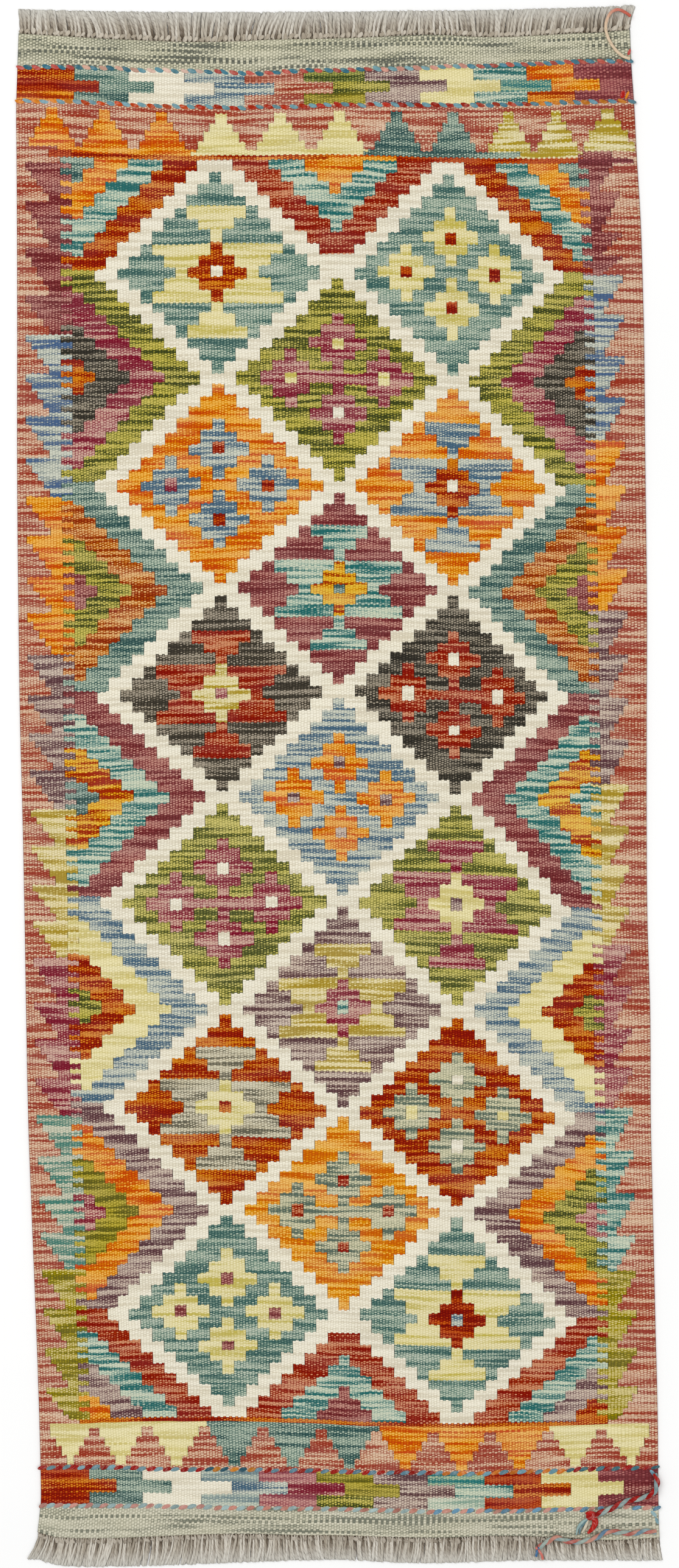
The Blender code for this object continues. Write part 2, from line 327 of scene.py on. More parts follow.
# Row of peaks: middle of each peak in warps, and its colour
TOP_PEAKS = [
    (12.3, "orange"),
    (31.0, "orange"),
    (51.0, "orange"),
    (71.5, "lemon"),
    (91.3, "lemon"),
    (111.3, "lemon"),
    (131.4, "teal"),
    (151.7, "teal"),
    (172.4, "pear"),
    (191.0, "pear"),
    (209.6, "pear"),
]
TOP_SILL = [("orange", 63.0), ("lemon", 121.0), ("teal", 177.0), ("pear", 201.0)]
THIN_LINE = [
    ("rose", 11.0), ("madder", 19.0), ("ember", 85.0), ("flame", 109.0), ("orange", 131.0),
    ("crimson", 201.0), ("wine", 215.0),
]
TOP_STEPS = (-135, -126, -119, -110, -103)  # picks where the peaks widen
LOW_PEAKS = [20.5 + 20.0 * k for k in range(10)]
LOW_SILL = [("lemon", 61.3), ("teal", 121.6), ("orange", 181.0), ("lemon", 215.4)]
LOW_STEPS = (1003, 1011, 1019, 1027, 1035)

# Twined lines: pick, y offset, slant, colours by stretch (up to warp, first, second)
TWINED = [
    (
        -172.5,
        1,
        [
            (20, "C85850", "3A7488"),
            (42, "DCAE98", "467C8C"),
            (67, "E0BEAC", "6A9CA8"),
            (122, "C4564A", "447F92"),
            (158, "D69A88", "78A4AC"),
            (218, "BC5A4C", "54889A"),
        ],
    ),
    (
        -141.0,
        1,
        [
            (22, "DA842A", "84AAB6"),
            (60, "CA4814", "7AA2AC"),
            (100, "BE3012", "6C99A2"),
            (160, "B42A16", "729EA8"),
            (180, "B4381C", "4E8090"),
            (218, "D6842A", "6090A0"),
        ],
    ),
    (
        1037.5,
        -1,
        [
            (60, "A01C18", "7A9EA8"),
            (78, "D28428", "356678"),
            (140, "A62218", "60899A"),
            (186, "D07626", "6E98A6"),
            (218, "A41E1C", "44747F"),
        ],
    ),
    (
        1070.5,
        -1,
        [
            (60, "CE9488", "9FB8B8"),
            (140, "C48474", "A8C0BE"),
            (218, "CE9484", "6A96B0"),
        ],
    ),
]

# --------------------------------------- loose yarn, in drawing units: x, y
LOOP_ROUTE = [
    (1034, 97.5),
    (1021, 92),
    (1008.5, 80),
    (999, 64),
    (994.5, 48),
    (996.5, 33),
    (1003.5, 21),
    (1014.5, 16.5),
    (1025.5, 20.5),
    (1035, 27),
]
RED_TAIL_ROUTE = [
    (1075, 2420),
    (1078.5, 2434),
    (1074, 2449),
    (1061, 2458),
    (1043, 2462),
    (1025, 2467),
    (1008, 2475),
    (991, 2482.5),
    (977, 2489),
    (976, 2501),
    (968, 2516),
]
RED_END_ROUTE = [
    (964, 2493.5),
    (955, 2500.5),
    (948, 2510),
    (946, 2521),
]
PINK_TAIL_ROUTE = [
    (1077, 2516),
    (1058, 2514.5),
    (1037, 2518.5),
    (1014, 2516),
    (996, 2515.5),
    (978, 2525.5),
    (958, 2531),
    (934, 2531.5),
    (913, 2525.5),
    (897, 2533),
    (884, 2542.5),
    (880, 2556),
]


# ------------------------------------------------------------------- helpers
def linear(code):
    """A dye's six hex digits, its look in the studio's light, as the wool's own
    red, green and blue."""
    values = [int(code[i : i + 2], 16) / 255 for i in (0, 2, 4)]
    return tuple(
        WOOL_SHARE * (v / 12.92 if v <= 0.04045 else ((v + 0.055) / 1.055) ** 2.4) for v in values
    )


def column(table, key, value, at):
    """A smooth curve through two columns of a table, read at some places."""
    xs = np.array([row[key] for row in table], float)
    ys = np.array([row[value] for row in table], float)
    slopes = np.gradient(ys, xs)
    at = np.clip(np.asarray(at, float), xs[0], xs[-1])
    i = np.clip(np.searchsorted(xs, at, side="right") - 1, 0, len(xs) - 2)
    width = xs[i + 1] - xs[i]
    t = (at - xs[i]) / width
    return (
        (2 * t**3 - 3 * t**2 + 1) * ys[i]
        + (t**3 - 2 * t**2 + t) * width * slopes[i]
        + (3 * t**2 - 2 * t**3) * ys[i + 1]
        + (t**3 - t**2) * width * slopes[i + 1]
    )


def place(x, y):
    """Drawing units to metres in the runner's frame."""
    return (x - MID_X) * UNIT, (MID_Y - y) * UNIT


def chance(*keys):
    """A repeatable number from 0 to 1 for whole-number keys, element by element."""
    mixed = np.zeros(np.broadcast(*[np.asarray(k) for k in keys]).shape, np.uint64)
    with np.errstate(over="ignore"):
        for k in keys:
            whole = np.asarray(k, np.int64).astype(np.uint64)
            mixed = (mixed ^ whole) * np.uint64(0x9E3779B97F4A7C15)
            mixed ^= mixed >> np.uint64(29)
            mixed *= np.uint64(0xBF58476D1CE4E5B9)
            mixed ^= mixed >> np.uint64(32)
    return (mixed >> np.uint64(11)).astype(float) / float(1 << 53)


def wander(at, step, seed):
    """Smooth wandering from 0 to 1 along a line, a new value each step."""
    t = np.asarray(at, float) / step
    k = np.floor(t).astype(np.int64)
    f = t - k
    f = f * f * (3 - 2 * f)
    return chance(k, seed) * (1 - f) + chance(k + 1, seed) * f


def drift(u, p, warps, picks, seed):
    """Smooth wandering from -1 to 1 over the cloth."""
    a, b = np.asarray(u, float) / warps, np.asarray(p, float) / picks
    i, j = np.floor(a).astype(np.int64), np.floor(b).astype(np.int64)
    f, g = a - i, b - j
    f, g = f * f * (3 - 2 * f), g * g * (3 - 2 * g)
    upper = chance(i, j, seed) * (1 - f) + chance(i + 1, j, seed) * f
    lower = chance(i, j + 1, seed) * (1 - f) + chance(i + 1, j + 1, seed) * f
    return 2 * (upper * (1 - g) + lower * g) - 1


# ----------------------------------------------------------- the field's cells
CELLS = (WARPS - 2 * STRIP) // CELL  # 47 cells across the field
FIRST_CELL = -13
FIRST_ROW, LAST_ROW = -9, 99


def motif_colour(diamond, dc, dr):
    ground, motif, figure, heart, eyes = diamond[2:]
    if motif == "stepped":
        if abs(dc) + abs(dr) == 0:
            return eyes[0]
        if abs(dc) + abs(dr) <= 2:
            return heart
        if abs(dr) <= 2:
            return figure if 3 - abs(dr) <= abs(dc) <= 3 + abs(dr) else ground
        if abs(dr) <= 5:
            return figure if abs(dc) <= abs(dr) - 3 else ground
        return ground
    for k, (fc, fr) in enumerate(((-4, 0), (4, 0), (0, -3), (0, 3))):
        away = abs(dc - fc) + abs(dr - fr)
        if away == 0:
            return eyes[k]
        if away <= 2:
            return figure
    if motif == "cross" and (dr == 0 and abs(dc) <= 2 or dc == 0 and abs(dr) <= 1):
        return figure
    return ground


def cell_colour(cell, row):
    in_border = False
    for diamond in DIAMONDS:
        dc, dr = cell - diamond[0], row - diamond[1]
        if abs(dc) + abs(dr) <= 8:
            return motif_colour(diamond, dc, dr)
        in_border = in_border or abs(dc) + abs(dr) <= 10
    if in_border:
        return "white"
    for middle, tones in ((-9, TOP_MIDDLE), (99, LOW_MIDDLE)):
        away = abs(cell - 10) + abs(row - middle)
        if away <= 8:
            return tones[away // 3]
    in_left, in_right = cell - FIRST_CELL, FIRST_CELL + CELLS - 1 - cell
    left = in_left < in_right
    inward = max(min(in_left, in_right), 1)
    middle = max(-9, min(99, 9 + 18 * math.floor(row / 18)))
    if row < 0:
        middle = -9
    if row >= 90:
        middle = 99
    for chevron in CHEVRONS:
        if chevron[0] == middle:
            away = inward + abs(row - middle)
            return (chevron[1] if left else chevron[2])[min(away // 3, 3)]
    return "white"


CHART = np.array(
    [
        [DYE[cell_colour(FIRST_CELL + i, row)] for i in range(CELLS)]
        for row in range(FIRST_ROW, LAST_ROW + 1)
    ]
)


def beat_offsets():
    """How far each boundary between two rows of cells is beaten up or down, in
    picks; it is the same all along one piece of boundary."""
    made = np.zeros((len(CHART) + 1, CELLS), int)
    for b in range(1, len(CHART)):
        run = 0
        for i in range(CELLS):
            pair = (CHART[b - 1, i], CHART[b, i])
            if i == 0 or pair != last:
                run += 1
            last = pair
            made[b, i] = int(chance(b, run, 7) * 3.4) - 1 if pair[0] != pair[1] else 0
    return np.clip(made, -1, 1)


def step_tilts():
    """How far each corner of the cells is pulled down, in drawing units: the edge
    of a step tilts along the slope of its staircase."""
    high = len(CHART)
    edge = np.zeros((high + 1, CELLS + 2), bool)
    edge[1:high, 1:-1] = CHART[:-1] != CHART[1:]
    pull = np.zeros((high + 1, CELLS + 1))
    hits = np.zeros((high + 1, CELLS + 1))
    for b in range(1, high):
        for i in range(CELLS):
            if not edge[b, i + 1]:
                continue
            rising = edge[b - 1, i + 2] and not edge[b, i + 2]
            rising = rising or (edge[b + 1, i] and not edge[b, i])
            falling = edge[b + 1, i + 2] and not edge[b, i + 2]
            falling = falling or (edge[b - 1, i] and not edge[b, i])
            if rising == falling:
                continue
            amount = (0.7 + 0.8 * float(chance(b, i, 11))) * (1 if rising else -1)
            pull[b, i] += amount
            pull[b, i + 1] -= amount
            hits[b, i] += 1
            hits[b, i + 1] += 1
    return pull / np.maximum(hits, 1)


BEATS = beat_offsets()
TILTS = step_tilts()


def tilt_at(u, p):
    """The pull of the nearby cell corners."""
    a = np.clip((np.asarray(u, float) - STRIP) / CELL, 0, CELLS - 1e-6)
    b = np.clip((np.asarray(p, float) + ROW / 2) / ROW - FIRST_ROW, 0, len(CHART) - 1e-6)
    i, j = a.astype(int), b.astype(int)
    f, g = a - i, b - j
    upper = TILTS[j, i] * (1 - f) + TILTS[j, i + 1] * f
    lower = TILTS[j + 1, i] * (1 - f) + TILTS[j + 1, i + 1] * f
    return upper * (1 - g) + lower * g


# --------------------------------------------------- warps and picks to the floor
def plain_y(u, p):
    """y of a pick at a warp, with no unevenness, between the outer twined lines."""
    u, p = np.broadcast_arrays(np.asarray(u, float), np.asarray(p, float))
    picks = [row[0] for row in PICK_PLACES]
    at_guides = np.stack(
        [np.interp(p, picks, [row[k + 1] for row in PICK_PLACES]) for k in range(5)]
    )
    guides = np.array(PICK_GUIDES, float)
    slopes = np.stack([np.gradient(at_guides, axis=0)[k] for k in range(5)])
    widths = np.gradient(guides)
    held = np.clip(u, guides[0], guides[-1])
    k = np.clip(np.searchsorted(guides, held, side="right") - 1, 0, 3)
    width = guides[k + 1] - guides[k]
    t = (held - guides[k]) / width
    y0 = np.take_along_axis(at_guides, k[None], 0)[0]
    y1 = np.take_along_axis(at_guides, k[None] + 1, 0)[0]
    s0 = np.take_along_axis(slopes, k[None], 0)[0] / widths[k]
    s1 = np.take_along_axis(slopes, k[None] + 1, 0)[0] / widths[k + 1]
    y = (
        (2 * t**3 - 3 * t**2 + 1) * y0
        + (t**3 - 2 * t**2 + t) * width * s0
        + (3 * t**2 - 2 * t**3) * y1
        + (t**3 - t**2) * width * s1
    )
    return y + (u - held) * np.where(u < held, s0, s1) * 0.5


def shares():
    """Each guide warp's place as a share of the width, at each guide row."""
    made = []
    for row in WARP_PLACES:
        p = row[0] * ROW
        y = plain_y(np.array(WARP_GUIDES, float), float(p))
        left, right = column(SELVEDGES, 0, 1, y), column(SELVEDGES, 0, 2, y)
        made.append((np.array(row[1:], float) - left) / (right - left))
    return np.array(made)


SHARES = shares()
SHARE_PICKS = np.array([row[0] * ROW for row in WARP_PLACES], float)


def on_paper(u, p):
    """Drawing x and y of a warp and a pick, with the unevenness of hand weaving."""
    u, p = np.broadcast_arrays(np.asarray(u, float), np.asarray(p, float))
    inside = np.clip(np.minimum(p - FIRST_PICK, LAST_PICK - p) / 12, 0, 1)
    across = np.clip(np.minimum(u, WARPS - u) / 6, 0, 1)
    y = plain_y(u, np.clip(p, -172.5, 1070.5))
    y = y + inside * (
        1.7 * drift(u, p, 42, 55, 1)
        + 1.1 * drift(u, p, 14, 22, 2)
        + 0.5 * drift(u, p, 4, 10, 3)
        + tilt_at(u, p)
    )
    # Past the outer twined lines, the picks fan out to the uneven ends
    x_rough = np.interp(u, [0, WARPS], [30, 1036])
    upper = column(UPPER_END, 0, 1, x_rough)
    x_low = np.interp(u, [0, WARPS], [62, 1083])
    lower = column(LOWER_END, 0, 1, x_low)
    t = np.clip((p - FIRST_PICK) / (-172.5 - FIRST_PICK), 0, 1)
    y = np.where(p < -172.5, upper + (y - upper) * t, y)
    t = np.clip((LAST_PICK - p) / (LAST_PICK - 1070.5), 0, 1)
    y = np.where(p > 1070.5, lower + (y - lower) * t, y)
    left, right = column(SELVEDGES, 0, 1, y), column(SELVEDGES, 0, 2, y)
    shares_here = np.stack([np.interp(p, SHARE_PICKS, SHARES[:, k]) for k in range(10)])
    nodes = np.concatenate([[0.0], WARP_GUIDES, [float(WARPS)]])
    k = np.clip(np.searchsorted(nodes, u, side="right") - 1, 0, len(nodes) - 2)
    edge0, edge1 = np.zeros((1,) + u.shape), np.ones((1,) + u.shape)
    shares_here = np.concatenate([edge0, shares_here, edge1])
    s0 = np.take_along_axis(shares_here, k[None], 0)[0]
    s1 = np.take_along_axis(shares_here, k[None] + 1, 0)[0]
    t = (u - nodes[k]) / (nodes[k + 1] - nodes[k])
    x = left + (right - left) * (s0 + (s1 - s0) * t)
    x = x + across * (0.6 * drift(u, p, 30, 60, 4) + 0.35 * drift(u, p, 5, 14, 5))
    return x, y


def on_floor(u, p):
    x, y = on_paper(u, p)
    return place(x, y)


# ------------------------------------------------------------- which dye where
def strip_colour(u, p, y):
    """Colour of the side strips: stepped teeth towards the selvedge."""
    left = u < WARPS / 2
    table, steps = (TEETH_LEFT, STEPS_LEFT) if left else (TEETH_RIGHT, STEPS_RIGHT)
    from_edge = u if left else WARPS - u
    tops = [top for row in table for top in row[1:]] + [TEETH_END]
    if y < tops[0] or y >= TEETH_END:
        return "rose"
    k = int(np.searchsorted(tops, y, side="right")) - 1
    step = int(5 * (y - tops[k]) / (tops[k + 1] - tops[k]))
    edge = steps[min(step, 4)]
    return table[k // 4][0] if from_edge > edge else "rose"


def field_colour(u, p, y):
    """Between the thin lines: strips, finger columns and the charted cells."""
    if u < STRIP or u > WARPS - STRIP:
        return strip_colour(u, p, y)
    i = min(int((u - STRIP) / CELL), CELLS - 1)
    b = int(math.floor((p + ROW / 2) / ROW)) - FIRST_ROW
    k = (p + ROW // 2) % ROW
    b = max(0, min(len(CHART) - 1, b))
    if i in (0, CELLS - 1):
        own = CHART[b, 1 if i == 0 else CELLS - 2]
        half = 5 + int(chance(b, i, 5) * 3) - 1
        if (k < half) == (i == 0):
            return own
        return strip_colour(STRIP - 0.1 if i == 0 else WARPS - STRIP + 0.1, p, y)
    if k == 0 and b > 0 and BEATS[b, i] == 1:
        return CHART[b - 1, i]
    if k == ROW - 1 and b < len(CHART) - 1 and BEATS[b + 1, i] == -1:
        return CHART[b + 1, i]
    return CHART[b, i]


def block_colour(table, first, last, u, p):
    """A band of interlocking blocks, three rows deep."""
    row = min(int((p - first) / ((last - first) / 3)), 2)
    for block in table:
        if u < block[4 if row == 1 else 3]:
            return block[row]
    return table[-1][row]


def peaks_top_colour(u, p, y):
    if p >= TOP_STEPS[-1]:
        if p >= -98:
            for name, end in THIN_LINE:
                if u < end:
                    return name
            return "rose"
        if u < 14:
            return "madder" if p > -101 and u > 11 else "rose"
        if u < 19 and p > -101:
            return "madder"
        for name, end in TOP_SILL:
            if u < end - 0.5 * (p - TOP_STEPS[-1]):
                return name
        return "plum" if u < 210.4 else "rose"
    widths = [k for k, start in enumerate(TOP_STEPS[:-1]) if p >= start]
    if widths:
        half = 2 * (widths[-1] + 1)
        for middle, name in TOP_PEAKS:
            if abs(u - middle) < half:
                return name
    return "rose"


def peaks_low_colour(u, p, y):
    if p < LOW_STEPS[0]:
        if p <= 997:
            return "ember" if 14 < u < 203 else "rose"
        if u < 4 or u > 215:
            return "rose"
        for name, end in LOW_SILL:
            if u < end:
                return name
        return "rose"
    step = sum(p >= start for start in LOW_STEPS[1:])
    half = 2 * (step + 1)
    for middle in LOW_PEAKS:
        if abs(u - middle) < half:
            return "rose"
    if u < (3.9, 6, 8.1, 9.9, 11)[min(step, 4)] or WARPS - u < (2.6, 4.2, 5.6, 6.8, 10)[min(step, 4)]:
        return "rose"
    if step >= 4:
        return "rose"
    for name, end in LOW_SILL:
        if u < end:
            return name
    return "rose"


COMMON = [0, 0.4, 1.2, 15, 39, 63, 87, 111, 135, 159, 183, 203, 216.8, 217.6, 218]
FIELD_LINES = (
    [0, 0.4, 1.2, 3, 5, 7, 9, 11]
    + list(range(STRIP, WARPS - STRIP + 1, CELL))
    + [206, 207.5, 209, 210.4, 212, 216.8, 217.6, 218]
)


def merged(*lists):
    """One sorted list of column lines, with near ones joined."""
    found = []
    for line in sorted(x for part in lists for x in part):
        if not found or line - found[-1] > 0.24:
            found.append(line)
        elif line in COMMON:
            found[-1] = line
    return found


ASH_LINES = merged(COMMON, range(7, 215, 8))
TOP_BLOCK_LINES = merged(COMMON, [x for row in TOP_BLOCKS for x in row[3:]])
LOW_BLOCK_LINES = merged(COMMON, [x for row in LOW_BLOCKS for x in row[3:]])
TOP_PEAK_LINES = merged(
    COMMON,
    [middle + s * 2 * k for middle, _ in TOP_PEAKS for k in (1, 2, 3, 4) for s in (-1, 1)
     if 1.4 < middle + s * 2 * k < 216.6],
    [11, 14, 19, 35, 61, 63, 109, 121, 131, 177, 201, 210.4, 215],
)
LOW_PEAK_LINES = merged(
    COMMON,
    [middle + s * 2 * k for middle in LOW_PEAKS for k in (1, 2, 3, 4) for s in (-1, 1)],
    [3.9, 6, 8.1, 9.9, 61.3, 121.6, 181, 211.2, 212.4, 213.8, 215.4],
)
ZONES = [
    # first pick, last pick, column lines, colour rule
    (FIRST_PICK, -173, ASH_LINES, lambda u, p, y: "ash"),
    (-172, -142, TOP_BLOCK_LINES, lambda u, p, y: block_colour(TOP_BLOCKS, -172, -141, u, p)),
    (-141, -98, TOP_PEAK_LINES, peaks_top_colour),
    (-97, 997, FIELD_LINES, None),
    (998, 1037, LOW_PEAK_LINES, peaks_low_colour),
    (1038, 1069, LOW_BLOCK_LINES, lambda u, p, y: block_colour(LOW_BLOCKS, 1038, 1070, u, p)),
    (1070, LAST_PICK, ASH_LINES, lambda u, p, y: "dove"),
]


def field_rule(u, p, y):
    if p < -94:
        return peaks_top_colour(u, p, y)
    if p >= 995:
        return "ember" if 14 < u < 203 else "rose"
    return field_colour(u, p, y)


def dye_grid(first, last, lines, rule):
    """The dye of each pick between each two column lines."""
    rule = rule or field_rule
    middles = [(a + b) / 2 for a, b in zip(lines, lines[1:])]
    picks = np.arange(first, last + 1)
    _, ys = on_paper(np.array(middles)[None, :], picks[:, None].astype(float))
    made = np.zeros((len(picks), len(middles)), int)
    for a, p in enumerate(picks):
        for b, u in enumerate(middles):
            found = rule(u, int(p), ys[a, b])
            made[a, b] = found if not isinstance(found, str) else DYE[found]
    return made


def regions(grid):
    """Numbers the areas of one dye that hang together."""
    high, wide = grid.shape
    parent = list(range(high * wide))

    def root(k):
        while parent[k] != k:
            parent[k] = parent[parent[k]]
            k = parent[k]
        return k

    for a in range(high):
        for b in range(wide):
            k = a * wide + b
            if b and grid[a, b] == grid[a, b - 1]:
                parent[root(k)] = root(k - 1)
            if a and grid[a, b] == grid[a - 1, b]:
                parent[root(k)] = root(k - wide)
    return np.array([root(k) for k in range(high * wide)]).reshape(high, wide)


def yarn_tones(grid, lines, zone):
    """Follows each yarn to and fro through its area, pick by pick, and reads its
    tone at both sides of every column."""
    area = regions(grid)
    high, wide = grid.shape
    lines = np.array(lines, float)
    tones = np.zeros((high, wide, 2))
    used, turn = {}, {}
    for a in range(high):
        b = 0
        while b < wide:
            e = b + 1
            while e < wide and area[a, e] == area[a, b]:
                e += 1
            k = int(area[a, b])
            run = DYES[grid[a, b]][6]
            s = used.get(k, float(chance(k, zone, 3)) * 400)
            ends = lines[b : e + 1]
            way = turn.get(k, 1)
            along = s + (ends - ends[0] if way > 0 else ends[-1] - ends)
            n = 0.68 * wander(along, run, k + 13 * zone) + 0.32 * wander(
                along, run * 0.3, k + 13 * zone + 5
            )
            n = np.clip(0.5 + (n - 0.5) * 1.3, 0, 1)
            tones[a, b:e, 0] = n[:-1]
            tones[a, b:e, 1] = n[1:]
            used[k] = s + (ends[-1] - ends[0]) + 1.0
            turn[k] = -way
            b = e
    return tones


# ------------------------------------------------------------- the woven cloth
def cloth_height(u, p, x, y):
    """Heights of the face and of the underside, rounded off at the edges."""
    sides = np.minimum(x - place(column(SELVEDGES, 0, 1, MID_Y - y / UNIT), 0)[0],
                       place(column(SELVEDGES, 0, 2, MID_Y - y / UNIT), 0)[0] - x)
    ends = np.minimum(p - FIRST_PICK, LAST_PICK - p) * 1.9 * UNIT
    d = np.clip(np.minimum(sides, ends) / EDGE_ROUND, 0, 1)
    bulge = np.sqrt(np.clip(1 - (1 - d) ** 2, 0, 1))
    middle = 0.00168
    top = middle + (CLOTH_THICKNESS - 0.0001 - middle) * bulge
    top = top + bulge * 0.00006 * drift(u, p, 9, 14, 8)
    return top, middle * (1 - bulge)


def build_cloth():
    points, faces, warp_uv, slit_uv, tone_uv, bake_uv = [], [], [], [], [], []
    dye_a, dye_b, streak = [], [], []
    count = 0
    half_pick = 448

    def bake_place(u, p, under):
        share = np.asarray(u, float) / WARPS
        if under:
            down = (np.asarray(p, float) - FIRST_PICK) / (LAST_PICK - FIRST_PICK)
            return np.stack([0.868 + 0.128 * share, 0.996 - 0.992 * down], -1)
        return share

    grids, vertex_rows = [], []
    for number, (first, last, lines, rule) in enumerate(ZONES):
        grid = dye_grid(first, last, lines, rule)
        tones = yarn_tones(grid, lines, number)
        grids.append((grid, tones))
        picks = np.arange(first, last + 1, dtype=float)
        u, p = np.meshgrid(np.array(lines, float), picks)
        x, y = on_floor(u, p)
        top, _ = cloth_height(u, p, x, y)
        points.append(np.stack([x, y, top], -1).reshape(-1, 3))
        index = count + np.arange(u.size).reshape(u.shape)
        vertex_rows.append(index)
        count += u.size
        # Quads between the picks, seen from above: corners counter-clockwise
        ul, ur = index[:-1, :-1], index[:-1, 1:]
        ll, lr = index[1:, :-1], index[1:, 1:]
        quads = np.stack([ul, ll, lr, ur], -1).reshape(-1, 4)
        faces.extend(map(tuple, quads.tolist()))
        u0, u1 = u[:-1, :-1], u[:-1, 1:]
        p0, p1 = p[:-1, :-1], p[1:, :-1]
        corner_u = np.stack([u0, u0, u1, u1], -1)
        corner_p = np.stack([p0, p1, p1, p0], -1)
        thick = 0.8 if number in (0, len(ZONES) - 1) else 1.0
        warp_uv.append(np.stack([corner_u, corner_p * thick], -1).reshape(-1, 2))
        a, b = tones[:-1], tones[1:]
        tone_a = np.stack([a[..., 0], a[..., 0], a[..., 1], a[..., 1]], -1)
        tone_b = np.stack([b[..., 0], b[..., 0], b[..., 1], b[..., 1]], -1)
        tone_uv.append(np.stack([tone_a, tone_b], -1).reshape(-1, 2))
        dye_a.append(grid[:-1].reshape(-1))
        dye_b.append(grid[1:].reshape(-1))
        streak.append(np.zeros(grid[:-1].size))
        # A slit stands between two dyes side by side
        split = (grid[:, 1:] != grid[:, :-1]).astype(float)
        split = (split[:-1] + split[1:]) / 2
        none = np.zeros((len(split), 1))
        on_left, on_right = np.hstack([none, split]), np.hstack([split, none])
        width = (u1 - u0)
        far = 9.0
        left_d = np.where(on_left[..., None] > 0.4, np.stack([0 * width, 0 * width, width, width], -1), far)
        right_d = np.where(on_right[..., None] > 0.4, np.stack([width, width, 0 * width, 0 * width], -1), far)
        slit_uv.append(np.stack([left_d, right_d], -1).reshape(-1, 2))
        share = corner_u / WARPS
        middle_p = (corner_p[..., 0:1] + corner_p[..., 1:2]) / 2
        lower = middle_p > half_pick
        down = np.where(
            lower,
            (corner_p - half_pick) / (LAST_PICK - half_pick),
            (corner_p - FIRST_PICK) / (half_pick - FIRST_PICK),
        )
        across = np.where(lower, 0.436 + 0.414 * share, 0.004 + 0.414 * share)
        bake_uv.append(np.stack([across, 0.996 - 0.992 * down], -1).reshape(-1, 2))

    def add_loose(corners, a, b, tone, under):
        """One face of any number of corners: (vertex, warp, pick) each."""
        faces.append(tuple(int(c[0]) for c in corners))
        u = np.array([c[1] for c in corners], float)
        p = np.array([c[2] for c in corners], float)
        thick = 0.8 if a in (DYE["ash"], DYE["dove"]) else 1.0
        warp_uv.append(np.stack([u, p * thick], -1))
        slit_uv.append(np.full((len(corners), 2), 9.0))
        tone_uv.append(np.full((len(corners), 2), tone))
        dye_a.append(np.array([a]))
        dye_b.append(np.array([b]))
        streak.append(np.array([1.0 if under else 0.0]))
        if under:
            bake_uv.append(bake_place(u, p, True))
        else:
            share = u / WARPS
            lower = p.mean() > half_pick
            start, end = (half_pick, LAST_PICK) if lower else (FIRST_PICK, half_pick)
            across = (0.436 if lower else 0.004) + 0.414 * share
            bake_uv.append(np.stack([across, 0.996 - 0.992 * (p - start) / (end - start)], -1))

    def spans(upper, lower):
        """Pairs of corner runs between the lines that two rows share."""
        shared = sorted(set(u for u, _ in upper) & set(u for u, _ in lower))
        for a, b in zip(shared, shared[1:]):
            yield (
                [c for c in upper if a <= c[0] <= b],
                [c for c in lower if a <= c[0] <= b],
                a,
                b,
            )

    # Joins between the zones
    for number in range(len(ZONES) - 1):
        p0, p1 = ZONES[number][1], ZONES[number + 1][0]
        upper = list(zip(ZONES[number][2], vertex_rows[number][-1]))
        lower = list(zip(ZONES[number + 1][2], vertex_rows[number + 1][0]))
        rule = ZONES[number][3] or field_rule
        for up, low, a, b in spans(upper, lower):
            middle = (a + b) / 2
            y = float(on_paper(middle, float(p0))[1])
            name = rule(middle, p0, y)
            if number in (1, 4):
                name = "rose"
            if number == 0 or number == 5:
                name = "ash" if number == 0 else "dove"
            dye = name if not isinstance(name, str) else DYE[name]
            corners = [(v, u, p1) for u, v in low] + [(v, u, p0) for u, v in reversed(up)]
            add_loose(corners, dye, dye, 0.45, False)

    # Underside: one face for each cell, joined to the rim all round
    rims_left = {}
    rims_right = {}
    for (first, last, _, _), rows in zip(ZONES, vertex_rows):
        for k, p in enumerate(range(first, last + 1)):
            rims_left[p], rims_right[p] = rows[k, 0], rows[k, -1]
    row_picks = [FIRST_PICK] + list(range(-195, 1096, 10)) + [LAST_PICK]
    under_lines = [0, 1.2, 7, 11] + list(range(STRIP, 204, CELL)) + [207.5, 212, 216.8, 218]
    shared_ends = [u for u in under_lines if u in ASH_LINES]
    previous = [(u, v) for u, v in zip(ASH_LINES, vertex_rows[0][0])]
    for p0, p1 in zip(row_picks, row_picks[1:]):
        if p1 == LAST_PICK:
            row = [(u, v) for u, v in zip(ASH_LINES, vertex_rows[-1][-1])]
        else:
            inner = np.array(under_lines[1:-1], float)
            x, y = on_floor(inner, float(p1))
            _, low_z = cloth_height(inner, np.full(len(inner), float(p1)), x, y)
            points.append(np.stack([x, y, low_z], -1))
            row = [(0, rims_left[p1])]
            row += [(u, count + k) for k, u in enumerate(inner)]
            row += [(218, rims_right[p1])]
            count += len(inner)
        middle_p = (p0 + p1) // 2
        zone = next(z for z in ZONES if z[1] >= middle_p or z is ZONES[-1])
        rule = zone[3] or field_rule
        for up, low, a, b in spans(previous, row):
            middle = (a + b) / 2
            y = float(on_paper(middle, float(middle_p))[1])
            name = rule(middle, middle_p, y)
            dye = name if not isinstance(name, str) else DYE[name]
            corners = [(v, u, p0) for u, v in up]
            if b == WARPS:
                corners += [(rims_right[q], WARPS, q) for q in range(p0 + 1, p1)]
            corners += [(v, u, p1) for u, v in reversed(low)]
            if a == 0:
                corners += [(rims_left[q], 0, q) for q in range(p1 - 1, p0, -1)]
            add_loose(corners, dye, dye, 0.5, True)
        previous = row

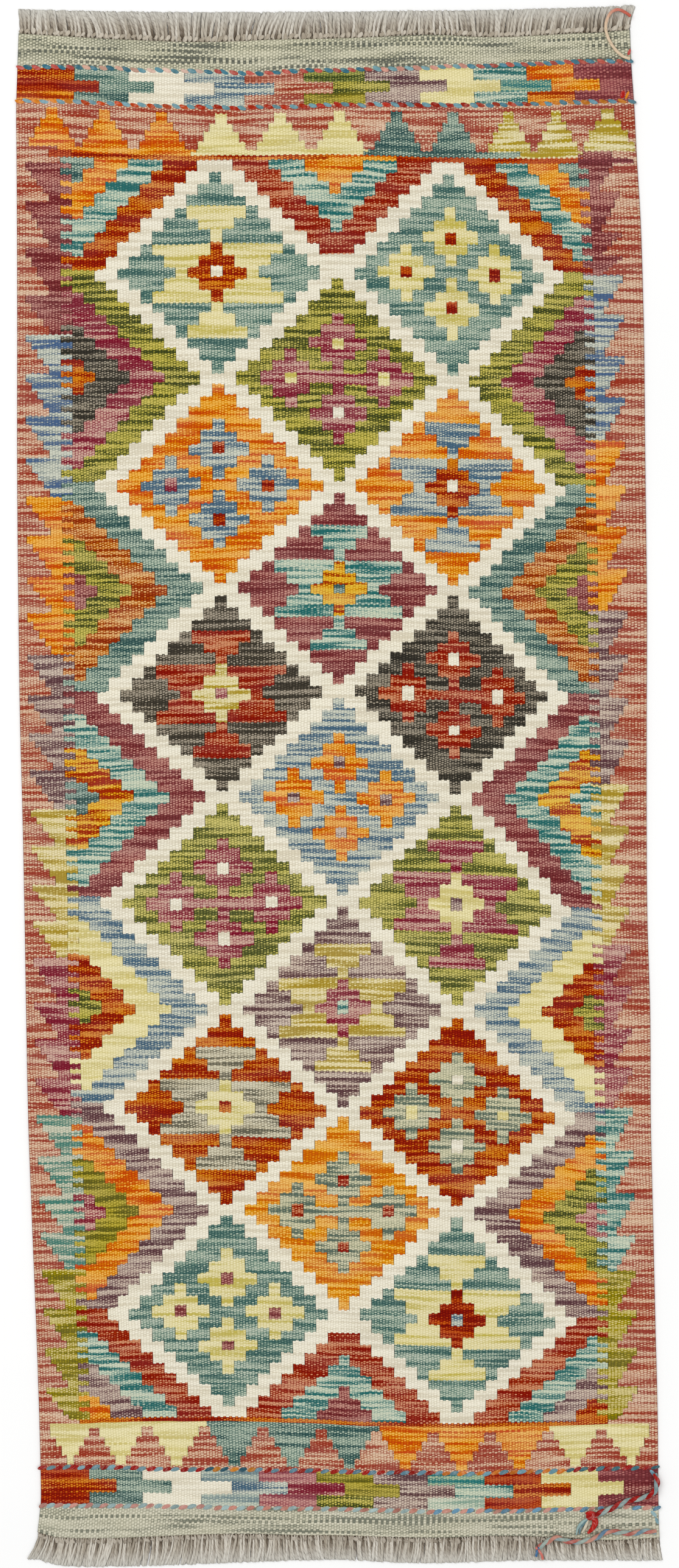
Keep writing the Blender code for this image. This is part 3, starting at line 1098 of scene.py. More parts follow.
    mesh = bpy.data.meshes.new("woven_cloth")
    mesh.from_pydata(np.concatenate(points).tolist(), [], faces)
    for name, parts in (
        ("warp_and_pick", warp_uv),
        ("slit", slit_uv),
        ("tone", tone_uv),
        ("OFBake", bake_uv),
    ):
        layer = mesh.uv_layers.new(name=name)
        layer.uv.foreach_set("vector", np.concatenate(parts).astype(np.float32).ravel())
    for name, parts in (("dye_a", dye_a), ("dye_b", dye_b), ("streak", streak)):
        found = mesh.attributes.new(name, "FLOAT", "FACE")
        found.data.foreach_set("value", np.concatenate(parts).astype(np.float32))
    mesh.uv_layers.active = mesh.uv_layers["warp_and_pick"]
    mesh.update()
    mesh.shade_smooth()
    cloth = bpy.data.objects.new("woven_cloth", mesh)
    bpy.context.scene.collection.objects.link(cloth)
    return cloth


# ------------------------------------------------------------------ materials
class Tree:
    """Short ways to lay out shader nodes."""

    def __init__(self, name):
        self.material = bpy.data.materials.new(name)
        self.material.use_nodes = True
        self.nodes = self.material.node_tree.nodes
        self.links = self.material.node_tree.links
        self.shader = self.nodes["Principled BSDF"]

    def feed(self, socket, value):
        if value is None:
            return
        if hasattr(value, "is_output"):
            self.links.new(value, socket)
        else:
            socket.default_value = value

    def math(self, kind, a, b=None, c=None, clamp=False):
        node = self.nodes.new("ShaderNodeMath")
        node.operation = kind
        node.use_clamp = clamp
        for socket, value in zip(node.inputs, (a, b, c)):
            self.feed(socket, value)
        return node.outputs[0]

    def add(self, a, b):
        return self.math("ADD", a, b)

    def sub(self, a, b):
        return self.math("SUBTRACT", a, b)

    def mul(self, a, b):
        return self.math("MULTIPLY", a, b)

    def uv(self, name):
        node = self.nodes.new("ShaderNodeUVMap")
        node.uv_map = name
        split = self.nodes.new("ShaderNodeSeparateXYZ")
        self.links.new(node.outputs[0], split.inputs[0])
        return split.outputs[0], split.outputs[1]

    def attribute(self, name, output="Fac"):
        node = self.nodes.new("ShaderNodeAttribute")
        node.attribute_name = name
        return node.outputs[output]

    def vector(self, x, y, z):
        node = self.nodes.new("ShaderNodeCombineXYZ")
        for socket, value in zip(node.inputs, (x, y, z)):
            self.feed(socket, value)
        return node.outputs[0]

    def noise(self, vector, scale=1.0, detail=0.0, rough=0.5):
        node = self.nodes.new("ShaderNodeTexNoise")
        self.feed(node.inputs["Vector"], vector)
        node.inputs["Scale"].default_value = scale
        node.inputs["Detail"].default_value = detail
        node.inputs["Roughness"].default_value = rough
        return node.outputs["Fac"]

    def dice(self, vector):
        node = self.nodes.new("ShaderNodeTexWhiteNoise")
        self.feed(node.inputs["Vector"], vector)
        return node.outputs["Value"]

    def smooth(self, value, low, high, to_low=0.0, to_high=1.0):
        node = self.nodes.new("ShaderNodeMapRange")
        node.interpolation_type = "SMOOTHSTEP"
        self.feed(node.inputs["Value"], value)
        for key, number in (("From Min", low), ("From Max", high), ("To Min", to_low), ("To Max", to_high)):
            self.feed(node.inputs[key], number)
        return node.outputs[0]

    def mix(self, share, a, b, kind="MIX"):
        node = self.nodes.new("ShaderNodeMix")
        node.data_type = "RGBA"
        node.blend_type = kind
        node.clamp_factor = True
        self.feed(node.inputs["Factor"], share)
        self.feed(node.inputs[6], a)
        self.feed(node.inputs[7], b)
        return node.outputs[2]

    def mixed(self, share, a, b):
        node = self.nodes.new("ShaderNodeMix")
        self.feed(node.inputs[0], share)
        self.feed(node.inputs[2], a)
        self.feed(node.inputs[3], b)
        return node.outputs[0]

    def table(self, number, colours):
        """The colour that a whole number stands for, out of a list."""
        half = len(colours) // 2
        found = []
        for part, first in ((colours[:half], 0), (colours[half:], half)):
            node = self.nodes.new("ShaderNodeValToRGB")
            ramp = node.color_ramp
            ramp.interpolation = "CONSTANT"
            while len(ramp.elements) < len(part):
                ramp.elements.new(0.5)
            for k, colour in enumerate(part):
                ramp.elements[k].position = k / len(part)
            for k, colour in enumerate(part):
                ramp.elements[k].color = (*colour, 1.0)
            self.feed(node.inputs[0], self.math("DIVIDE", self.sub(number, first - 0.5), float(len(part))))
            found.append(node.outputs[0])
        return self.mix(self.math("GREATER_THAN", number, half - 0.5), found[0], found[1])

    def ramp(self, share, stops):
        node = self.nodes.new("ShaderNodeValToRGB")
        ramp = node.color_ramp
        while len(ramp.elements) < len(stops):
            ramp.elements.new(0.5)
        for element, (position, colour) in zip(ramp.elements, stops):
            element.position = position
            element.color = (*colour, 1.0)
        self.feed(node.inputs[0], share)
        return node.outputs[0]

    def bump(self, height, strength, distance):
        node = self.nodes.new("ShaderNodeBump")
        node.inputs["Strength"].default_value = strength
        node.inputs["Distance"].default_value = distance
        self.feed(node.inputs["Height"], height)
        return node.outputs[0]

    def finish(self, colour, roughness, normal, sheen=0.0):
        self.feed(self.shader.inputs["Base Color"], colour)
        self.feed(self.shader.inputs["Roughness"], roughness)
        self.feed(self.shader.inputs["Normal"], normal)
        self.shader.inputs["Specular IOR Level"].default_value = 0.06
        self.shader.inputs["Sheen Weight"].default_value = sheen
        self.shader.inputs["Sheen Roughness"].default_value = 0.5
        return self.material


def weave_material():
    """Weft-faced plain weave: over each warp every second pick shows as a bead, and
    the beads of the next warp sit half way between."""
    t = Tree("woven_wool")
    u, p = t.uv("warp_and_pick")
    spot = t.vector(u, p, 0.0)
    warp_wave = t.sub(t.noise(t.vector(t.mul(u, 0.30), t.mul(p, 0.12), 3.0)), 0.5)
    uw = t.add(u, t.mul(warp_wave, 0.5))
    i = t.math("FLOOR", uw)
    bu = t.sub(t.sub(uw, i), 0.5)
    k = t.math("FLOOR", t.add(p, 0.0005))
    down = t.sub(p, k)
    other = t.math("FLOORED_MODULO", t.add(i, k), 2.0)  # 0: this pick's bead shows
    q = t.add(k, other)
    bv = t.sub(down, other)
    # No two beads sit quite alike
    shift = t.mul(t.sub(t.dice(t.vector(i, q, 7.0)), 0.5), 0.5)
    aside = t.mul(t.sub(t.dice(t.vector(i, q, 2.0)), 0.5), 0.16)
    slope = t.add(0.24, t.mul(t.sub(t.dice(t.vector(i, q, 4.0)), 0.5), 0.7))
    slant = t.add(t.add(bv, shift), t.mul(bu, slope))
    packed = t.noise(t.vector(t.mul(u, 0.07), t.mul(p, 0.05), 12.0), detail=1.0)
    squat = t.smooth(packed, 0.36, 0.64, 1.18, 1.62)
    e = t.add(
        t.math("POWER", t.math("ABSOLUTE", t.mul(t.add(bu, aside), 2.2)), 2.0),
        t.math("POWER", t.math("ABSOLUTE", t.mul(slant, squat)), 2.0),
    )
    crown = t.smooth(e, 0.08, 1.0, 1.0, 0.0)
    beside = t.smooth(t.math("ABSOLUTE", t.mul(bu, 2.0)), 0.45, 1.0)
    above = t.smooth(t.math("ABSOLUTE", slant), 0.45, 1.05)
    gap = t.math("MAXIMUM", beside, above)
    # Which dye, and how its yarn is streaked here. Packed down, each bead covers a
    # little less than its pick
    cover = t.math("GREATER_THAN", t.add(down, t.mul(t.sub(other, 0.5), 0.72)), 0.5)
    dye = t.mixed(cover, t.attribute("dye_a"), t.attribute("dye_b"))
    tone_a, tone_b = t.uv("tone")
    yarn = t.mixed(other, tone_a, tone_b)
    dark = t.table(dye, [linear(row[1]) for row in DYES])
    mid = t.table(dye, [linear(row[2]) for row in DYES])
    light = t.table(dye, [linear(row[3]) for row in DYES])
    habits = t.table(dye, [(row[7], row[8], row[4] / 2) for row in DYES])
    split = t.nodes.new("ShaderNodeSeparateColor")
    t.links.new(habits, split.inputs[0])
    fleck_and_highlight, gap_shade_and_depth, half_contrast = split.outputs
    manners = t.table(dye, [(row[5] / 2, row[9] / 2, row[10]) for row in DYES])
    split = t.nodes.new("ShaderNodeSeparateColor")
    t.links.new(manners, split.inputs[0])
    half_lean, half_depth, lines = split.outputs
    pick_seed = t.mul(dye, 7.7)
    v = t.mixed(0.45, p, q)
    band = t.noise(t.vector(t.mul(u, 0.036), t.mul(v, 0.29), pick_seed), detail=1.5)
    streak = t.sub(t.smooth(band, 0.37, 0.63), 0.5)
    dash = t.sub(t.noise(t.vector(t.mul(u, 0.11), t.mul(v, 0.80), 5.0), detail=1.0), 0.5)
    each = t.dice(t.vector(i, q, 0.0))
    short = t.sub(t.noise(t.vector(t.mul(u, 0.40), t.mul(q, 1.3), 9.0), detail=1.0), 0.5)
    single = t.noise(t.vector(t.mul(u, 0.026), t.mul(q, 1.9), 31.0), detail=0.5)
    single = t.mul(t.smooth(single, 0.55, 0.68), lines)
    single = t.mul(single, t.sub(1.0, t.mul(crown, 0.18)))
    under = t.attribute("streak")
    yarn = t.sub(yarn, 0.5)
    spread = t.sub(1.0, t.mul(lines, 0.55))
    yarn = t.add(t.mul(yarn, t.sub(0.30, t.mul(under, 0.30))), t.mul(streak, t.mul(spread, 0.72)))
    yarn = t.add(yarn, t.mul(dash, 0.75))
    yarn = t.sub(yarn, t.mul(single, 0.72))
    yarn = t.math("ADD", yarn, t.add(0.5, t.mul(lines, 0.12)), clamp=True)
    lean = t.mul(half_lean, 2.0)
    bent = t.sub(t.math("POWER", yarn, lean), t.math("POWER", 0.5, lean))
    tone = t.add(0.5, t.mul(t.mul(half_contrast, 2.0), bent))
    # Painted highlight: the crowns of the beads are painted lighter, as if they caught the light; in the darkest
    # stretches they hardly show
    painted_highlight = t.mul(t.mul(fleck_and_highlight, t.smooth(yarn, 0.05, 0.50, 0.40, 1.0)), t.add(0.4, t.mul(each, 1.7)))
    level = t.smooth(yarn, 0.45, 0.95, 0.24, 0.34)
    tone = t.add(tone, t.mul(painted_highlight, t.mul(t.sub(crown, level), t.sub(1.45, t.mul(lines, 0.35)))))
    tone = t.add(tone, t.mul(fleck_and_highlight, t.mul(short, 0.6)))
    low_half = t.math("MULTIPLY", tone, 2.0, clamp=True)
    high_half = t.math("MULTIPLY_ADD", tone, 2.0, -1.0, clamp=True)
    colour = t.mix(high_half, t.mix(low_half, dark, mid), light)
    vivid = t.nodes.new("ShaderNodeHueSaturation")
    lot = t.noise(t.vector(t.mul(u, 0.05), t.mul(p, 0.06), 17.0), detail=1.0)
    t.feed(vivid.inputs["Saturation"], t.mul(t.mul(half_depth, 2.0), t.smooth(lot, 0.3, 0.7, 0.96, 1.05)))
    t.feed(vivid.inputs["Color"], colour)
    colour = vivid.outputs[0]
    # Painted shade between beads, along the warps and in the slits, with slow random wear, multiplied into the colour
    painted_gap_shade = t.mul(gap_shade_and_depth, t.add(t.mul(beside, 0.80), t.mul(above, 0.80)))
    left, right = t.uv("slit")
    slit = t.smooth(t.math("MINIMUM", left, right), 0.02, 0.24, 1.0, 0.0)
    open_slit = t.noise(t.vector(t.mul(u, 0.4), t.mul(p, 0.11), 21.0))
    slit = t.mul(slit, t.smooth(open_slit, 0.35, 0.65, 0.25, 1.25))
    worn = t.sub(t.noise(t.vector(t.mul(u, 0.05), t.mul(p, 0.02), 1.0), detail=2.0), 0.5)
    painted_shade_and_wear = t.sub(1.05, painted_gap_shade)
    # the slits get a darker painted shade, stronger in some places than in others
    painted_shade_and_wear = t.sub(painted_shade_and_wear, t.mul(slit, 0.42))
    painted_shade_and_wear = t.add(painted_shade_and_wear, t.mul(worn, 0.10))
    grey = t.nodes.new("ShaderNodeCombineColor")
    for socket in grey.inputs:
        t.links.new(painted_shade_and_wear, socket)
    colour = t.mix(1.0, colour, grey.outputs[0], "MULTIPLY")
    fibre = t.noise(t.vector(t.mul(u, 5.0), t.mul(slant, 14.0), q), detail=1.0)
    height = t.mul(t.add(t.mul(crown, 0.8), t.mul(fibre, 0.2)), t.add(0.25, t.mul(gap_shade_and_depth, 3.2)))
    height = t.sub(height, t.mul(slit, 0.9))
    normal = t.bump(height, 0.5, 0.0005)
    roughness = t.add(0.86, t.mul(gap, 0.08))
    return t.finish(colour, roughness, normal, sheen=0.012)


def yarn_material(name, ply_shade, fibres, roughness=0.9):
    """Spun wool: fibres lie along the yarn, and painted shade darkens it where two plies meet."""
    t = Tree(name)
    colour = t.attribute("yarn", "Vector")
    lay = t.nodes.new("ShaderNodeSeparateXYZ")
    t.links.new(t.attribute("lay", "Vector"), lay.inputs[0])
    across_x, across_y, along = lay.outputs
    fibre = t.noise(
        t.vector(t.mul(across_x, 2.6), t.mul(across_y, 2.6), t.mul(along, 0.22)), detail=2.0
    )
    patch = t.noise(t.vector(3.0, 7.0, t.mul(along, 0.16)))
    ply_groove_shade = t.smooth(t.math("ABSOLUTE", across_x), 0.05, 0.55, ply_shade, 0.0)
    tone = t.add(t.mul(t.sub(fibre, 0.5), fibres), t.mul(t.sub(patch, 0.5), fibres * 0.6))
    # painted shade in the groove between the plies
    tone = t.sub(tone, ply_groove_shade)
    darker = t.mix(1.0, colour, (0.40, 0.37, 0.36, 1.0), "MULTIPLY")
    paler = t.mix(0.42, colour, (0.78, 0.74, 0.66, 1.0))
    down = t.math("MULTIPLY", tone, -1.6, clamp=True)
    up = t.math("MULTIPLY", tone, 1.6, clamp=True)
    shade = t.mix(up, t.mix(down, colour, darker), paler)
    height = t.sub(t.mul(fibre, 0.7), t.mul(ply_groove_shade, 0.8))
    return t.finish(shade, t.add(roughness, t.mul(fibre, 0.06)), t.bump(height, 0.5, 0.0004), sheen=0.05)


# ---------------------------------------------------------------------- yarns
class Yarns:
    """Lengths of yarn and single stitches, gathered into one mesh."""

    def __init__(self, name, across, down):
        self.name, self.across, self.down = name, across, down
        self.points, self.faces, self.colours, self.lays, self.bakes = [], [], [], [], []
        self.count, self.made = 0, 0

    def tube(self, route, wide, tall, colour, sides=8, twist=0.0, pinch=0.0, cell=None):
        """A yarn along a route. wide and tall are its half sizes and twist its turns in
        all; colour is one for the whole yarn or one for each point of the route."""
        route = np.asarray(route, float)
        n = len(route)
        step = np.diff(route, axis=0)
        along = np.concatenate([[0.0], np.cumsum(np.linalg.norm(step, axis=1))])
        ahead = np.gradient(route, axis=0)
        ahead /= np.linalg.norm(ahead, axis=1)[:, None]
        side = np.cross(ahead, [0.0, 0.0, 1.0])
        side /= np.maximum(np.linalg.norm(side, axis=1), 1e-9)[:, None]
        up = np.cross(side, ahead)
        share = along / along[-1]
        wide = np.broadcast_to(np.asarray(wide, float), n)
        tall = np.broadcast_to(np.asarray(tall, float), n)
        colour = np.broadcast_to(np.asarray(colour, float), (n, 3))
        angle = np.arange(sides) * 2 * math.pi / sides
        phase = angle[None, :] - (2 * math.pi * twist * share)[:, None]
        size = 1.0 - pinch * (1.0 - np.abs(np.cos(phase)))
        ring = (
            route[:, None]
            + (wide[:, None] * size * np.cos(angle))[..., None] * side[:, None]
            + (tall[:, None] * size * np.sin(angle))[..., None] * up[:, None]
        )
        tips = np.array([route[0] - ahead[0] * tall[0] * 0.4, route[-1] + ahead[-1] * tall[-1] * 0.4])
        self.points.append(np.concatenate([ring.reshape(-1, 3), tips]))
        start = float(chance(self.made, 17)) * 900
        lay = np.stack([np.cos(phase), np.sin(phase), 0 * phase + (along * 1000)[:, None] + start], -1)
        ends = np.array([[0, 0, start], [0, 0, start + along[-1] * 1000]])
        self.lays.append(np.concatenate([lay.reshape(-1, 3), ends]))
        tints = np.repeat(colour[:, None], sides, axis=1).reshape(-1, 3)
        self.colours.append(np.concatenate([tints, colour[:1], colour[-1:]]))
        cell = self.made if cell is None else cell
        x0, y0 = (cell % self.across) / self.across, (cell // self.across) / self.down
        w, h = 1 / self.across, 1 / self.down

        def bake(k, v):
            return (x0 + w * (0.06 + 0.88 * k / sides), y0 + h * (0.06 + 0.88 * v))

        first, last = self.count + n * sides, self.count + n * sides + 1
        for a in range(n - 1):
            v0, v1 = 0.04 + 0.92 * share[a], 0.04 + 0.92 * share[a + 1]
            base = self.count + a * sides
            for k in range(sides):
                m = (k + 1) % sides
                self.faces.append((base + k, base + m, base + sides + m, base + sides + k))
                self.bakes += [bake(k, v0), bake(k + 1, v0), bake(k + 1, v1), bake(k, v1)]
        top = self.count + (n - 1) * sides
        for k in range(sides):
            m = (k + 1) % sides
            self.faces.append((self.count + m, self.count + k, first))
            self.bakes += [bake(k + 1, 0.04), bake(k, 0.04), bake(k + 0.5, 0.0)]
            self.faces.append((top + k, top + m, last))
            self.bakes += [bake(k, 0.96), bake(k + 1, 0.96), bake(k + 0.5, 1.0)]
        self.count += n * sides + 2
        self.made += 1

    def stitch(self, centre, angle, length, width, height, colour, sides=8, rings=7, curl=0.0):
        """One oval stitch lying on the cloth, tapered at both ends."""
        t = np.linspace(-0.93, 0.93, rings)
        bend = curl * (t**2 - 0.4) * width
        x = centre[0] + t * length * math.cos(angle) - bend * math.sin(angle)
        y = centre[1] + t * length * math.sin(angle) + bend * math.cos(angle)
        z = centre[2] - height * 0.35 * t**2
        round_off = np.sqrt(1 - t**2)
        self.tube(
            np.stack([x, y, z], -1), width * round_off, height * round_off, colour,
            sides=sides, twist=0.35, pinch=0.0,
        )

    def piece(self, material):
        mesh = bpy.data.meshes.new(self.name)
        mesh.from_pydata(np.concatenate(self.points).tolist(), [], self.faces)
        layer = mesh.uv_layers.new(name="OFBake")
        layer.uv.foreach_set("vector", np.array(self.bakes, np.float32).ravel())
        for name, parts in (("yarn", self.colours), ("lay", self.lays)):
            found = mesh.attributes.new(name, "FLOAT_VECTOR", "POINT")
            found.data.foreach_set("vector", np.concatenate(parts).astype(np.float32).ravel())
        mesh.materials.append(material)
        mesh.update()
        mesh.shade_smooth()
        made = bpy.data.objects.new(self.name, mesh)
        bpy.context.scene.collection.objects.link(made)
        return made


def blend(share, *codes):
    """A colour part of the way along a row of dyes."""
    dyes = np.array([linear(code) for code in codes])
    at = np.clip(np.asarray(share, float), 0, 1) * (len(dyes) - 1)
    i = np.clip(at.astype(int), 0, len(dyes) - 2)
    f = (at - i)[..., None]
    return dyes[i] * (1 - f) + dyes[i + 1] * f


def smooth_route(route, steps):
    """A curve through the points of a route, with even steps between its points."""
    pts = np.array(route, float)
    pts = np.vstack([2 * pts[0] - pts[1], pts, 2 * pts[-1] - pts[-2]])
    made = []
    for i in range(1, len(pts) - 2):
        a, b, c, d = pts[i - 1], pts[i], pts[i + 1], pts[i + 2]
        for t in np.linspace(0, 1, steps, endpoint=False):
            made.append(
                0.5
                * (
                    2 * b
                    + (c - a) * t
                    + (2 * a - 5 * b + 4 * c - d) * t**2
                    + (3 * b - a - 3 * c + d) * t**3
                )
            )
    made.append(pts[-2])
    return np.array(made)


def resample(points, count):
    """The same line with a number of evenly spaced points."""
    points = np.asarray(points, float)
    step = np.linalg.norm(np.diff(points, axis=0), axis=1)
    along = np.concatenate([[0.0], np.cumsum(step)])
    at = np.linspace(0, along[-1], count)
    return np.stack([np.interp(at, along, points[:, k]) for k in range(points.shape[1])], -1)


def laid_route(route, diameter, count=120):
    """A loose yarn's centreline on top of the cloth, in metres."""
    drawn = smooth_route(route, 12)
    x, y = place(drawn[:, 0], drawn[:, 1])
    z = np.full(len(x), CLOTH_THICKNESS + GAP + diameter / 2)
    return resample(np.stack([x, y, z], -1), count)


def build_fringe(upper):
    """Warp ends past one edge: bunched at the knots, then loose and leaning."""
    table = UPPER_END if upper else LOWER_END
    edge_pick = float(FIRST_PICK if upper else LAST_PICK)
    way = -1 if upper else 1
    yarns = Yarns("upper_fringe" if upper else "lower_fringe", 40, 14)
    seed = 100 if upper else 200
    t = np.linspace(0, 1, 14)
    # Bunches of a few warps share a knot
    bunch_of, sizes, k = [], [], 0
    while k < WARPS:
        size = 3 + int(3 * chance(k, seed, 1))
        size = min(size, WARPS - k)
        bunch_of += [(k, size)] * size
        k += size
    for layer in (0, 1):
        for k in range(WARPS):
            if upper and layer == 1 and k % 3 == 2:
                continue
            u = k + (0.98 if layer == 0 else 0.75 + 0.5 * (k % 3) if upper else 0.5)
            x0, y0 = (float(v) for v in on_paper(min(u, WARPS - 0.5), edge_pick))
            tips = float(column(table, 0, 2, x0 + float(column(table, 0, 3, x0))))
            lean = float(column(table, 0, 3, x0))
            start, size = bunch_of[min(k, WARPS - 1)]
            off = (start + size / 2 - u) * 4.6
            noise = 2 * chance(k, seed, layer, np.arange(9)) - 1
            gather = np.interp(t, [0, 0.12, 0.5, 1], [0.0, 0.24, 0.20, 0.05]) * off
            own = 4.4 * noise[0] * t**1.8 + 2.2 * noise[1] * np.sin(math.pi * t)
            own = own + 1.5 * noise[6] * np.sin(2 * math.pi * t + 2 * noise[7]) * t
            group = 4.0 * (2 * wander(u, 6.5, seed) - 1) * t**1.4
            swing = np.clip(np.minimum(u, WARPS - u) / 5, 0, 1)
            if layer == 0:
                gather, own = 0.3 * gather, 0.4 * own
            x = x0 + gather + lean * t**1.7 + (own + group) * swing
            y_tip = tips + (0.8 * noise[2] - 0.2 - 0.3 * (layer == 0)) * way
            y_root = y0 - 1.5 * way
            y = y_root + (y_tip - y_root) * t
            px, py = place(x, y)
            grey = blend(np.full(len(t), 0.5), "C6C6BF", "D0CFC8")
            if layer == 0:
                z = 0.0010 + 0.0002 * noise[3] + 0 * t
                wide, tall = 0.0026 * np.interp(t, [0, 0.2, 1], [0.9, 1, 1]), 0.0008
                # the lower layer is tinted dark near the knots: painted shade in the gaps between the upper strands,
                # paling towards the tips
                tint = blend(np.clip(0.12 * noise[4] + 0.06 + 1.05 * t, 0, 1), "46392A", "75695A", "A2988A", "BDB6AA")
                share = np.clip((t - 0.5) * 1.0, 0, 0.5)[:, None]
            else:
                z = 0.00165 + 0.0003 * noise[3] + 0.0002 * np.sin(6 * t + noise[4])
                wide = ((0.00196 if upper else 0.00152) + 0.00035 * noise[5]) * np.interp(t, [0, 0.2, 0.7, 1], [0.82, 1, 1.05, 1.2])
                tall = 0.00105
                tone = 0.5 + 0.40 * noise[4] + 0.15 * (t - 0.5)
                # darker near the knots: painted shade at the roots of the strands
                tint = blend(tone - 0.35 * np.clip(1 - 4 * t, 0, 1), "A09584", "C4BCAD", "DCD6CA")
                share = np.clip((t - 0.45) * 1.2, 0, 0.7)[:, None]
            tint = tint * (1 - share) + grey * share
            yarns.tube(
                np.stack([px, py, z], -1), wide, tall, tint,
                sides=6 if layer == 0 else 8, twist=2.2 + noise[1], pinch=0.22,
            )
    for k in range(STRANDS):
        u = 2 * k + 1.0
        x0, y0 = (float(v) for v in on_paper(u, edge_pick))
        noise = 2 * chance(k, seed + 1, np.arange(4)) - 1
        px, py = place(x0 + 0.8 * noise[0], y0 + (5.0 + 0.9 * noise[1]) * way)
        if upper:
            tint = blend(0.5 + 0.5 * noise[2], "A39886", "B8AD9B", "C9C0B0")
        else:
            tint = blend(0.5 + 0.5 * noise[2], "8F8576", "A59B8C", "B9B0A1")
        size = (1.0 if upper else 0.85) * (1 + 0.16 * noise[0])
        angle = math.pi / 2 + 0.6 * noise[3] + (-0.7 if upper else 0.6)
        yarns.stitch(
            (px, py, 0.0023), angle, 0.0041 * size, 0.0026 * size, 0.0011, tint, sides=10, curl=0.5
        )
    return yarns


def near_loose_yarn(x, y):
    return min(
        math.hypot(x - a, y - b)
        for route in (LOOP_ROUTE, RED_TAIL_ROUTE, RED_END_ROUTE, PINK_TAIL_ROUTE)
        for a, b in smooth_route(route, 4)
    )


def build_twining():
    """Four lines of weft twining: two yarns wrapped round each other across the
    cloth, so that their colours show in turn as slanted ovals."""
    yarns = Yarns("twined_lines", 20, 17)
    for line, (pick, slant, stretches) in enumerate(TWINED):
        for k in range(76):
            u = 1.1 + k * 2.88 + 0.45 * (2 * float(chance(k, line, 31)) - 1)
            x, y = (float(v) for v in on_paper(u, float(pick)))
            ahead_x, ahead_y = on_paper(u + 1.5, float(pick))
            run = math.atan2(-(float(ahead_y) - y), float(ahead_x) - x)
            noise = 2 * chance(k, line, 32, np.arange(5)) - 1
            first, second = next((a, b) for end, a, b in stretches if u <= end)
            tint = np.array(linear(first if k % 2 == 0 else second))
            tint = tint * (0.82 + 0.18 * noise[0])
            px, py = place(x, y + 0.8 * noise[1])
            low = near_loose_yarn(x, y) < 14
            z, tall = (0.0030, 0.0007) if low else (0.0033, 0.0010)
            yarns.stitch(
                (px, py, z), run - slant * (0.33 + 0.10 * noise[2]),
                (8.3 + 0.7 * noise[3]) * UNIT, (3.55 + 0.4 * noise[4]) * UNIT, tall, tint,
                sides=10, rings=8, curl=0.25 * slant,
            )
    # Odd ends of weft and twining yarn that show on the face
    for x, y, angle, length, width, code in (
        (941.5, 103.5, 0.9, 5.5, 2.6, "D8480C"),
        (1022.5, 155.0, 1.35, 8.5, 4.2, "B01A14"),
        (1030.0, 156.0, 1.15, 9.0, 2.4, "E08A1C"),
        (1033.0, 86.0, 1.25, 6.5, 2.6, "C04A42"),
        (1072.0, 2420.0, -0.85, 8.5, 3.2, "6E9AAC"),
        (1078.0, 2430.0, -1.2, 7.5, 2.8, "5E8EA2"),
        (1073.5, 2487.0, -0.8, 8.5, 3.3, "8FAEB2"),
        (1078.5, 2498.0, -1.25, 7.0, 2.8, "7FA2AA"),
    ):
        px, py = place(x, y)
        yarns.stitch((px, py, 0.0031), angle, length * UNIT, width * UNIT, 0.0008, linear(code), sides=10)
    return yarns


def ply(centre, diameter, turns, number):
    """The way of one of two plies round the centreline of a cord."""
    ahead = np.gradient(centre, axis=0)
    ahead /= np.linalg.norm(ahead, axis=1)[:, None]
    side = np.cross(ahead, [0.0, 0.0, 1.0])
    side /= np.linalg.norm(side, axis=1)[:, None]
    up = np.cross(side, ahead)
    angle = 2 * math.pi * turns * np.linspace(0, 1, len(centre)) + math.pi * number
    reach = 0.20 * diameter
    return centre + reach * (np.cos(angle)[:, None] * side + np.sin(angle)[:, None] * up)


def build_loop():
    route = laid_route(LOOP_ROUTE, LOOP_DIAMETER)
    yarns = Yarns("pale_loop", 1, 1)
    share = np.linspace(0, 1, len(route))
    tint = blend(np.clip((share - 0.5) * 2.2, 0, 1), "DDC6A8", "D8B498", "CC7A68", "C4604E")
    r = LOOP_DIAMETER / 2
    yarns.tube(route, r * 1.02, r * 0.96, tint, sides=14, twist=5.0, pinch=0.10)
    return yarns, route


def build_red_tail():
    route = laid_route(RED_TAIL_ROUTE, RED_TAIL_DIAMETER, 150)
    yarns = Yarns("red_and_blue_tail", 1, 3)
    d = RED_TAIL_DIAMETER
    knot_at = int(np.argmin(np.hypot(route[:, 0] - place(977, 0)[0], route[:, 1] - place(0, 2489)[1])))
    body = route[: knot_at + 2]
    share = np.linspace(0, 1, len(body))
    slim = np.interp(share, [0, 0.08, 1], [0.6, 1, 1])
    red = blend(0.5 + 0.5 * np.sin(share * 31), "8C1412", "A21A16")
    blue = blend(wander(share * 100, 9, 41), "64808A", "849A9A", "A2AEA6")
    yarns.tube(ply(body, d, 4.4, 0), 0.42 * d * slim, 0.36 * d * slim, red, sides=12, twist=-3.0)
    yarns.tube(ply(body, d, 4.4, 1), 0.40 * d * slim, 0.35 * d * slim, blue, sides=12, twist=-3.0)
    # Below the knot the red ply hangs on alone
    tail = resample(
        laid_route([(972, 2489), (977, 2498), (974, 2508), (965, 2518)], d, 24), 24
    )
    taper = np.interp(np.linspace(0, 1, 24), [0, 0.35, 0.7, 1], [0.9, 1.15, 0.8, 0.45])
    yarns.tube(tail, 0.56 * d * taper, 0.36 * d * taper, blend(np.linspace(0, 1, 24), "A81612", "B8241A"), sides=12, twist=0.5)
    return yarns, route


def build_knot():
    """The red ply, tied round the pale blue one."""
    yarns = Yarns("red_knot", 1, 2)
    x, y = place(971.0, 2489.0)
    z = CLOTH_THICKNESS + GAP + RED_TAIL_DIAMETER / 2
    yarns.stitch(
        (x, y, z), 0.35, 9.5 * UNIT, 7.0 * UNIT, 0.0031, linear("A01412"), sides=14, rings=10, curl=0.2
    )
    x, y = place(968.0, 2484.5)
    yarns.stitch(
        (x, y, z + 0.0009), 0.15, 7.5 * UNIT, 3.6 * UNIT, 0.0022, linear("B21C16"), sides=12, rings=10
    )
    return yarns


